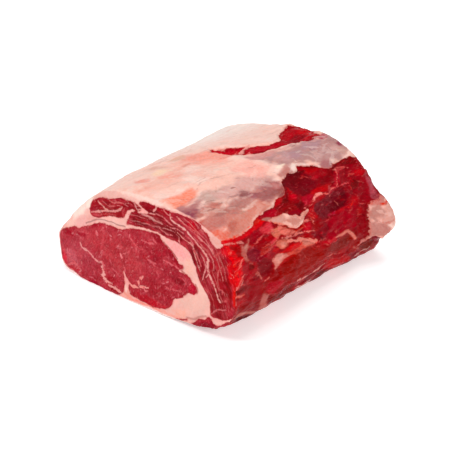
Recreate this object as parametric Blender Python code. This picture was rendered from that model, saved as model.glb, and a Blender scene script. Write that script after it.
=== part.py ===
"""Boneless ribeye roast: one thick block of raw beef, cut square at both ends.

The script works in millimetres and scales to metres at the end, +Z up. The fresh cut face
looks along -Y, the trimmed lean side along +X, and the fat cap lies on top. The origin is on
the table, under the middle of the block.
"""

import math

import bmesh
import bpy
import numpy as np
from mathutils import Vector
from mathutils.noise import noise

MM = 0.001

LENGTH = 210.0  # from cut face to cut face
CELLS = (33, 38, 21)  # quads along X, Y and Z of the starting cube
CROWD_ENDS = 0.34  # how far the rows of quads crowd towards the two ends
FRONT_ROUND = 3.0  # edge of the fresh cut
BACK_ROUND = 13.0  # edge of the older cut, softer
CENTRE_HEIGHT = 50.0  # the sections are drawn round this height

# Cross-sections (x, z), anticlockwise as seen from the front, four points to a side: bottom from
# the left, lean side from the bottom, fat cap from the right, left side from the top.
SECTIONS = {
    -105: (
        (-91, 0), (-48, -5), (-2, -4), (43, 0),
        (81, 9), (97, 26), (101, 50), (97, 76),
        (85, 92), (46, 104), (5, 104), (-37, 95),
        (-68, 71), (-88, 49), (-98, 33), (-98, 17),
    ),
    -40: (
        (-89, 3), (-45, -5), (0, -5), (45, -4),
        (82, 4), (98, 19), (101, 44), (96, 69),
        (84, 87), (46, 103), (5, 102), (-37, 94),
        (-67, 76), (-89, 54), (-99, 37), (-98, 18),
    ),
    105: (
        (-86, 4), (-44, -5), (0, -5), (46, -5),
        (90, 0), (101, 13), (102, 36), (94, 57),
        (78, 77), (43, 94), (4, 92), (-35, 83),
        (-69, 71), (-89, 55), (-98, 38), (-97, 20),
    ),
}
FLOOR = -3.0  # what would lie lower is pressed flat on the table

# The relief of the long sides lies on a chart of (y, girth). Girth is the distance round the
# block from the middle of the lean side, upwards: 50 is the shoulder, 127 the middle of the top.
FAT_STEP = 2.4  # the fat cap stands this much over the trimmed lean
FAT_STEP_RUN = 3.0  # and comes down over this much to either side of its edge
LEAN_FOOT = (-40.0, 0.0)  # the trimming dies away between these girths
FAT_EDGE = (
    (-106, 50), (-80, 44), (-55, 48), (-28, 49), (-12, 52), (2, 62), (12, 68), (31, 71),
    (43, 65), (52, 56), (63, 49), (90, 50), (106, 38),
)
FAR_LUMP = ((98, -14), 19, 20, 12.5, 0)  # fat left on at the far corner, standing out along +X
# A swell or a hollow: centre, half length, half width, height, and turn in degrees.
SWELLS = (
    ((-28, 33), 19, 6, 2.2, -32),  # patch of fat left on the lean side
    ((-22, 12), 26, 5, 1.4, -22),
    ((-20, -14), 62, 13, 2.6, 2),  # long muscle low on the side
    ((-60, 103), 26, 22, 1.2, 10),
    ((35, 150), 46, 22, 1.8, 0),
    ((25, 60), 22, 9, -3.0, 0),  # hollow under the edge of the fat
    ((37, 19), 22, 9, -2.4, 4),
    ((76, 36), 13, 9, -1.8, 0),
    ((-70, 27), 13, 9, -1.8, 0),
    ((-76, 4), 12, 12, 1.2, 0),
    ((73, 108), 20, 11, -2.2, 0),  # thin fat over the second muscle
    ((-25, 66), 26, 7, -1.3, -8),
)
# A narrow fold or ridge: its line on the chart, half width, height.
FOLDS = (
    (((5, 150), (9, 136), (18, 117), (38, 103), (52, 101)), 5, -2.4),  # slit in the fat cap
    (((6, 30), (22, 35), (38, 33), (54, 29), (66, 45)), 3.5, 1.6),
    (((14, -6), (44, -8), (56, -20)), 3.5, 1.4),
    (((-102, -10), (-99, 20), (-101, 44)), 6, 1.0),  # lip along the edge of the fresh cut
    (((-84, 40), (-83, 26), (-78, 22)), 3.5, 1.2),
)
# The muscles of the fresh cut bulge a little: centre (x, z), half width, half height, height, turn.
FACE_SWELLS = (
    ((-18, 38), 66, 27, 1.8, 8),  # eye muscle
    ((0, 88), 52, 9, 1.2, 6),  # cap muscle
    ((74, 58), 34, 11, 1.2, -68),
    ((55, 22), 20, 9, -0.8, 40),  # seam fat at the lower corner
)

SWELL_SLOPE = (0.25, 1.3)  # a swell falls away between these shares of its half size
FOLD_SLOPE = (0.2, 1.6)  # and a fold between these shares of its half width
UNDERSIDE = (-0.6, -0.2)  # no relief where the surface looks further down than this
CUT_FACING = (0.5, 0.9)  # what looks more forward than this is the fresh cut
LUMP_INNER = (60.0, 90.0)  # the far lump grows between these widths
END_FADE = 8.0  # the side relief dies away over this length before a cut
LOOSE_SIZE = 34.0  # span of the gentle swell of the whole surface
LOOSE_HEIGHT = 1.3


def clear_scene():
    for obj in list(bpy.data.objects):
        bpy.data.objects.remove(obj)


def smooth_step(low, high, value):
    """0 below low, 1 above high, and a smooth ramp between."""
    share = min(1.0, max(0.0, (value - low) / (high - low)))
    return share * share * (3 - 2 * share)


def on_section(section, turn):
    """Point of a closed smooth curve through the section's points; turn runs from 0 to their number."""
    count = len(section)
    start = int(math.floor(turn))
    t = turn - start
    p = [Vector(section[(start + k) % count]) for k in (-1, 0, 1, 2)]
    return 0.5 * (
        2 * p[1]
        + (p[2] - p[0]) * t
        + (2 * p[0] - 5 * p[1] + 4 * p[2] - p[3]) * t**2
        + (3 * p[1] - p[0] - 3 * p[2] + p[3]) * t**3
    )


def turn_on_square(a, c):
    """Place of (a, c) on the rim of the unit square, as a turn round a section of sixteen points."""
    if c <= -abs(a):
        side, along = 0, a
    elif a >= abs(c):
        side, along = 1, c
    elif c >= abs(a):
        side, along = 2, -a
    else:
        side, along = 3, -c
    return 4 * side + 2 * (along + 1)


def rim_point(y, turn):
    """Point (x, z) of the outline at y, blended between the two sections beside it."""
    places = sorted(SECTIONS)
    for near, far in zip(places, places[1:]):
        if y <= far:
            break
    share = smooth_step(near, far, y)
    return on_section(SECTIONS[near], turn).lerp(on_section(SECTIONS[far], turn), share)


def end_inset(y):
    """How far the block draws in near an end, so that the edge of the cut is rounded."""
    for end, radius in ((-1, FRONT_ROUND), (1, BACK_ROUND)):
        into = radius - (LENGTH / 2 - end * y)
        if into > 0:
            return radius - math.sqrt(max(0.0, radius**2 - into**2))
    return 0.0


def block_point(a, b, c):
    """Where the starting cube's point (a, b, c) lies on the plain block."""
    y = LENGTH / 2 * b * (1 + CROWD_ENDS - CROWD_ENDS * b * b)
    reach = max(abs(a), abs(c))
    turn = turn_on_square(a / reach, c / reach) if reach else 0.0
    middle = Vector((0, CENTRE_HEIGHT))
    out = rim_point(y, turn) - middle
    out *= 1 - end_inset(y) / out.length
    point = middle + out * reach
    return Vector((point.x, y, point.y))


def girth_table():
    """Angle round the block against the distance round a rounded outline of its proportions."""
    half_width, half_height, squareness = 100, 50, 2.8
    angle = np.radians(np.arange(-180, 180.5, 0.5))
    across = abs(np.cos(angle) / half_width) ** squareness
    upward = abs(np.sin(angle) / half_height) ** squareness
    reach = (across + upward) ** (-1 / squareness)
    steps = np.hypot(np.diff(reach * np.cos(angle)), np.diff(reach * np.sin(angle)))
    distance = np.concatenate([[0], np.cumsum(steps)])
    return angle, distance - np.interp(0, angle, distance)


ANGLES, DISTANCES = girth_table()


def girth(x, z):
    return float(np.interp(math.atan2(z - CENTRE_HEIGHT, x), ANGLES, DISTANCES))


def swell(place, centre, half_length, half_width, height, turn):
    """Height at place of a rounded swell whose long axis is turned from the first axis."""
    angle = math.radians(turn)
    away = Vector(place) - Vector(centre)
    along = away.x * math.cos(angle) + away.y * math.sin(angle)
    across = away.y * math.cos(angle) - away.x * math.sin(angle)
    return height * (1 - smooth_step(*SWELL_SLOPE, math.hypot(along / half_length, across / half_width)))


def line_distance(place, line):
    """Distance from place to a line of straight stretches."""
    place = Vector(place)
    nearest = math.inf
    for start, end in zip(line, line[1:]):
        start, run = Vector(start), Vector(end) - Vector(start)
        share = min(1.0, max(0.0, (place - start).dot(run) / run.length_squared))
        nearest = min(nearest, (place - start - run * share).length)
    return nearest


def side_relief(y, around):
    """Height of the long sides' relief at a place of the chart."""
    edge = float(np.interp(y, *zip(*FAT_EDGE)))
    trimmed = 1 - smooth_step(edge - FAT_STEP_RUN, edge + FAT_STEP_RUN, around)
    height = -FAT_STEP * trimmed * smooth_step(*LEAN_FOOT, around)
    height += sum(swell((y, around), *shape) for shape in SWELLS)
    for line, half_width, rise in FOLDS:
        height += rise * (1 - smooth_step(*FOLD_SLOPE, line_distance((y, around), line) / half_width))
    return height


def relief(place, outward):
    """How far the surface stands out over the plain block at a place."""
    height = LOOSE_HEIGHT * noise(place / LOOSE_SIZE)
    on_chart = (place.y, girth(place.x, place.z))
    height += side_relief(*on_chart) * smooth_step(LENGTH / 2, LENGTH / 2 - END_FADE, abs(place.y))
    if outward.y < 0:
        face = sum(swell((place.x, place.z), *shape) for shape in FACE_SWELLS)
        height += face * smooth_step(*CUT_FACING, -outward.y)
    return height * smooth_step(*UNDERSIDE, outward.z)


def far_lump(place):
    """How far the lump of fat at the far corner stands out; over the end face it dies away."""
    return swell((place.y, girth(place.x, place.z)), *FAR_LUMP) * smooth_step(*LUMP_INNER, place.x)


def beef():
    material = bpy.data.materials.new("raw beef")
    material.use_nodes = True
    shader = material.node_tree.nodes["Principled BSDF"]
    shader.inputs["Base Color"].default_value = (0.42, 0.035, 0.04, 1)
    shader.inputs["Roughness"].default_value = 0.38
    shader.inputs["Metallic"].default_value = 0
    return material


def make_block():
    """The block's mesh, drawn in millimetres, settled on the table and scaled to metres."""
    block = bmesh.new()
    bmesh.ops.create_cube(block, size=2)
    for axis, cells in enumerate(CELLS):
        along = [e for e in block.edges if abs((e.verts[1].co - e.verts[0].co)[axis]) > 0.1]
        bmesh.ops.subdivide_edges(block, edges=along, cuts=cells - 1, use_grid_fill=True)
    for vertex in block.verts:
        vertex.co = block_point(*vertex.co)
    block.normal_update()
    moves = [vertex.normal * relief(vertex.co, vertex.normal) for vertex in block.verts]
    for vertex, move in zip(block.verts, moves):
        move.x += far_lump(vertex.co)
        vertex.co += move
        vertex.co.z = max(vertex.co.z, FLOOR)
    bmesh.ops.triangulate(block, faces=block.faces, quad_method="BEAUTY")
    xs, ys = ([vertex.co[axis] for vertex in block.verts] for axis in (0, 1))
    middle = Vector(((min(xs) + max(xs)) / 2, (min(ys) + max(ys)) / 2, FLOOR))
    bmesh.ops.translate(block, verts=block.verts, vec=-middle)
    bmesh.ops.scale(block, verts=block.verts, vec=(MM, MM, MM))
    mesh = bpy.data.meshes.new("ribeye")
    block.to_mesh(mesh)
    block.free()
    mesh.shade_smooth()
    mesh.materials.append(beef())
    return bpy.data.objects.new("ribeye", mesh)


def main():
    clear_scene()
    roast = bpy.data.collections.new("ribeye_roast")
    bpy.context.scene.collection.children.link(roast)
    roast.objects.link(make_block())


main()
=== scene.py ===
import math

import bpy
import numpy as np
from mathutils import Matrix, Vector


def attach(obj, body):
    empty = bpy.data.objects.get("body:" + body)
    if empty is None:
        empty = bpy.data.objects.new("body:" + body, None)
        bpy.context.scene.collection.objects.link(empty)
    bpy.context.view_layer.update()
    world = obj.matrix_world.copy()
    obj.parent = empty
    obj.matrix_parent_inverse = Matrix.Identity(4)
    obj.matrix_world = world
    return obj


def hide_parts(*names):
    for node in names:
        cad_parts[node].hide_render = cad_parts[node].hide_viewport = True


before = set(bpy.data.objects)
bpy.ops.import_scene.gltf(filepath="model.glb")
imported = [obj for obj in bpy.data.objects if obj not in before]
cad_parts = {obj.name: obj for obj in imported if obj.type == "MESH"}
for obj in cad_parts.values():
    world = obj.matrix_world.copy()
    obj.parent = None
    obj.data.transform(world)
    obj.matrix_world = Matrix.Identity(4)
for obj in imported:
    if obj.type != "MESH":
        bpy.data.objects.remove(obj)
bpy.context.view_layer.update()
print("frame loaded:", ", ".join(sorted(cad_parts)))

# Everything below is drawn in millimetres. The cut faces are drawn in (x, z), the long sides in
# (y, girth), girth being the way round the block from the middle of the lean side, upwards:
# 50 is the shoulder, 127 the middle of the top, 254 the middle of the left side.
drawing = {
    "mm": 0.001,
    "zero": (-6.34, 0.67, 3.0),  # where the drawings' zero lies in the frame
    "centreHeight": 50.0,
    "halfWidth": 100.0,
    "halfHeight": 50.0,
    "squareness": 2.8,
    "leftStart": 30,  # the fat's left edge counts from this far above the left side's middle
    "floor": -3.0,  # the drawings' height of the floor
    "weld": 1e-6,  # points this near, in metres, are one
}


def ramp(low, high, value):
    # 0 at low, 1 at high, smooth between
    share = np.clip((value - low) / (high - low), 0, 1)
    return share * share * (3 - 2 * share)


def hexColour(code):
    # a screen colour such as "c44d55" as linear red, green and blue
    screen = np.array([int(code[k:k + 2], 16) for k in (0, 2, 4)]) / 255
    return np.where(screen <= 0.04045, screen / 12.92, ((screen + 0.055) / 1.055) ** 2.4)


def latticeValue(cells, seed):
    # one repeatable number from 0 to 1 for each lattice point
    firstPrime, secondPrime, thirdPrime, seedPrime = 374761393, 668265263, 1274126177, 144269
    mixed = cells[..., 0] * firstPrime + cells[..., 1] * secondPrime
    mixed = mixed + cells[..., 2] * thirdPrime + seed * seedPrime
    mixed = (mixed ^ (mixed >> 13)) * thirdPrime
    mixed = (mixed ^ (mixed >> 15)) * secondPrime
    return ((mixed ^ (mixed >> 16)) & 65535) / 65535


def softNoise(points, size, seed, layers=2):
    # smooth noise whose lumps are about size across, evened out to about -1 to 1
    total, weight, evening = 0, 0, 0.62
    for layer in range(layers):
        scaled = points / (size / 2**layer)
        cells = np.floor(scaled).astype(np.int64)
        part = scaled - cells
        part = part * part * (3 - 2 * part)
        value = 0
        for corner in np.ndindex(2, 2, 2):
            share = np.prod(np.where(corner, part, 1 - part), axis=1)
            value = value + share * latticeValue(cells + np.array(corner), seed + 17 * layer)
        total = total + (2 * value - 1) / 2**layer
        weight += evening / 2**layer
    return total / weight


def namedNoise(points, noise):
    # size, seed, layers, and the share of y that counts: under 1 draws the lumps out along the roast
    size, seed, layers, shareOfY = noise
    return softNoise(points * np.array([1, shareOfY, 1]), size, seed, layers)


def wobbled(points, wobble):
    # a small shift in the chart that makes drawn edges uneven
    shifts = [softNoise(points, wobble["size"], seed) for seed in wobble["seeds"]]
    return wobble["reach"] * np.stack(shifts, axis=1)


def girthTable():
    # angle round the block against the distance round a rounded outline of its proportions
    angle = np.radians(np.arange(-180, 180.5, 0.5))
    across = abs(np.cos(angle) / drawing["halfWidth"]) ** drawing["squareness"]
    upward = abs(np.sin(angle) / drawing["halfHeight"]) ** drawing["squareness"]
    reach = (across + upward) ** (-1 / drawing["squareness"])
    steps = np.hypot(np.diff(reach * np.cos(angle)), np.diff(reach * np.sin(angle)))
    distance = np.concatenate([[0], np.cumsum(steps)])
    return angle, distance - np.interp(0, angle, distance)


tableAngles, tableGirths = girthTable()
fullGirth = tableGirths[-1] - tableGirths[0]


def smoothLine(points, closed=False, parts=4):
    # a smooth curve through the points
    knots = np.array(points, float)
    if closed:
        knots = np.vstack([knots[-1:], knots, knots[:2]])
    else:
        knots = np.vstack([2 * knots[:1] - knots[1:2], knots, 2 * knots[-1:] - knots[-2:-1]])
    part = (np.arange(parts) / parts)[:, None]
    stretches = []
    for before, start, end, after in zip(knots, knots[1:], knots[2:], knots[3:]):
        square = (2 * before - 5 * start + 4 * end - after) * part**2
        cube = (3 * start - before - 3 * end + after) * part**3
        stretches.append(0.5 * (2 * start + (end - before) * part + (square + cube)))
    return np.vstack(stretches + [knots[-2:-1]])


def alongLine(places, line):
    # distance to a line, the share of it passed at the nearest point, and the side it lies on
    best = np.full(len(places), np.inf)
    passed = np.zeros(len(places))
    side = np.ones(len(places))
    walked = 0
    for start, end in zip(line, line[1:]):
        run = end - start
        length = max(np.hypot(*run), 1e-6)
        away = places - start
        share = np.clip(away @ run / length**2, 0, 1)
        distance = np.hypot(*(away - share[:, None] * run).T)
        closer = distance < best
        best = np.where(closer, distance, best)
        passed = np.where(closer, walked + share * length, passed)
        side = np.where(closer, np.sign(run[0] * away[:, 1] - run[1] * away[:, 0]), side)
        walked += length
    return best, passed / walked, side, walked


def withinOutline(places, outline, margin=8.0):
    # millimetres inside a closed smooth outline, negative outside and -margin far outside
    line = smoothLine(outline, closed=True)
    result = np.full(len(places), -margin)
    low, high = line.min(0) - margin, line.max(0) + margin
    near = np.all((places > low) & (places < high), axis=1)
    if not near.any():
        return result
    spots = places[near]
    inside = np.zeros(len(spots), bool)
    for (ax, ay), (bx, by) in zip(line, line[1:]):
        if ay != by:
            crossed = (ay > spots[:, 1]) != (by > spots[:, 1])
            inside ^= crossed & (spots[:, 0] < ax + (spots[:, 1] - ay) * (bx - ax) / (by - ay))
    distance = alongLine(spots, line)[0]
    result[near] = np.maximum(np.where(inside, distance, -distance), -margin)
    return result


markLook = {
    "blobCore": 0.45,  # share of a blob's half width that has its full colour
    "blobEdge": 1.2,
    "blobRagged": 0.3,
    "streakEnds": (0.02, 0.98),  # a streak thins towards both ends
    "streakThin": 0.35,
    "streakReach": 6,  # millimetres round a streak that are looked at
    "streakFringe": -0.2,
    "streakRise": (-1.2, 0.6),
    "streakBend": 0.35,  # how much stray streaks bend in their middle
    "creaseCore": 0.2,
    "creaseEdge": 1.7,
    # how far a crease's painted shade darkens it
    "creaseShade": 0.8,
}


def blobShare(places, centre, halves, turn, rough):
    # 1 at the middle of a soft oval, 0 outside its ragged edge
    angle = math.radians(turn)
    away = places - np.array(centre)
    along = away[:, 0] * math.cos(angle) + away[:, 1] * math.sin(angle)
    across = away[:, 1] * math.cos(angle) - away[:, 0] * math.sin(angle)
    reach = np.hypot(along / halves[0], across / halves[1]) + markLook["blobRagged"] * rough
    return 1 - ramp(markLook["blobCore"], markLook["blobEdge"], reach)


def mixInto(colours, share, code):
    return colours + share[:, None] * (hexColour(code) - colours)


def addBlobs(colours, places, blobs, rough):
    for centre, halves, turn, code in blobs:
        colours = mixInto(colours, blobShare(places, centre, halves, turn, rough), code)
    return colours


def addTints(colours, points, tints):
    # cloudy tints: strength, the noise values where one begins and is full, size, seed and colour
    for strength, low, high, size, seed, code in tints:
        colours = mixInto(colours, strength * ramp(low, high, softNoise(points, size, seed)), code)
    return colours


def addPanels(colours, places, panels, rough, uneven):
    for outline, code, soft in panels:
        within = withinOutline(places, outline, 4 + 2 * soft)
        colours = mixInto(colours, ramp(-soft, soft, within + uneven * min(soft, 3) * rough), code)
    return colours


def addStreaks(paint, places, streaks, rough, uneven, allowed=None):
    # streaks of fat or membrane: points, half width, colour, opacity and lift
    for points, halfWidth, code, opacity, lift in streaks:
        line = smoothLine(points)
        low, high = line.min(0) - markLook["streakReach"], line.max(0) + markLook["streakReach"]
        near = np.all((places > low) & (places < high), axis=1)
        near = np.flatnonzero(near if allowed is None else near & allowed)
        if not len(near):
            continue
        distance, passed, _, _ = alongLine(places[near], line)
        fullness = np.sqrt(np.sin(np.pi * np.clip(passed, *markLook["streakEnds"])))
        width = halfWidth * (markLook["streakThin"] + (1 - markLook["streakThin"]) * fullness)
        width = width * (1 + uneven * rough[near])
        within = width - distance
        over = (within > paint["streak"][near]) | (within > markLook["streakFringe"])
        chosen = near[over]
        paint["streak"][chosen] = within[over]
        paint["streakTone"][chosen] = [*hexColour(code), opacity]
        paint["height"][near] += lift * ramp(*markLook["streakRise"], within)


def strayStreaks(strays, inside, bearing):
    # short streaks strewn over an area; inside and bearing are asked for many places at once
    chance = np.random.default_rng(strays["seed"])
    count = strays["count"]
    low, high = np.array(strays["area"]).T
    starts = chance.uniform(low, high, (count, 2))
    lengths = chance.uniform(*strays["length"], count)
    widths = chance.uniform(*strays["width"], count)
    opacities = chance.uniform(*strays["opacity"], count)
    turns = np.radians(bearing(starts) + chance.normal(0, strays["spread"], count))
    bends = chance.normal(0, markLook["streakBend"], count)
    codes = chance.choice(strays["tones"], count)
    kept = inside(starts)
    streaks = []
    for k in np.flatnonzero(kept):
        first = np.array([math.cos(turns[k]), math.sin(turns[k])]) * lengths[k] / 2
        bent = turns[k] + bends[k]
        second = np.array([math.cos(bent), math.sin(bent)]) * lengths[k] / 2
        line = (starts[k] - first, starts[k], starts[k] + second)
        streaks.append((line, widths[k], str(codes[k]), opacities[k], strays["lift"]))
    return streaks


def shadowsUnderMembranes(streaks, membraneShadow):
    # a painted shadow, a dark line over a slight sink, below each membrane that stands out
    dark = []
    for points, halfWidth, _, _, lift in streaks:
        if lift > membraneShadow["leastLift"]:
            line = tuple((y + membraneShadow["along"], girth - membraneShadow["below"] - halfWidth) for y, girth in points)
            width = membraneShadow["width"] * halfWidth
            dark.append((line, width, membraneShadow["tone"], membraneShadow["opacity"], membraneShadow["lift"]))
    return dark
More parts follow.
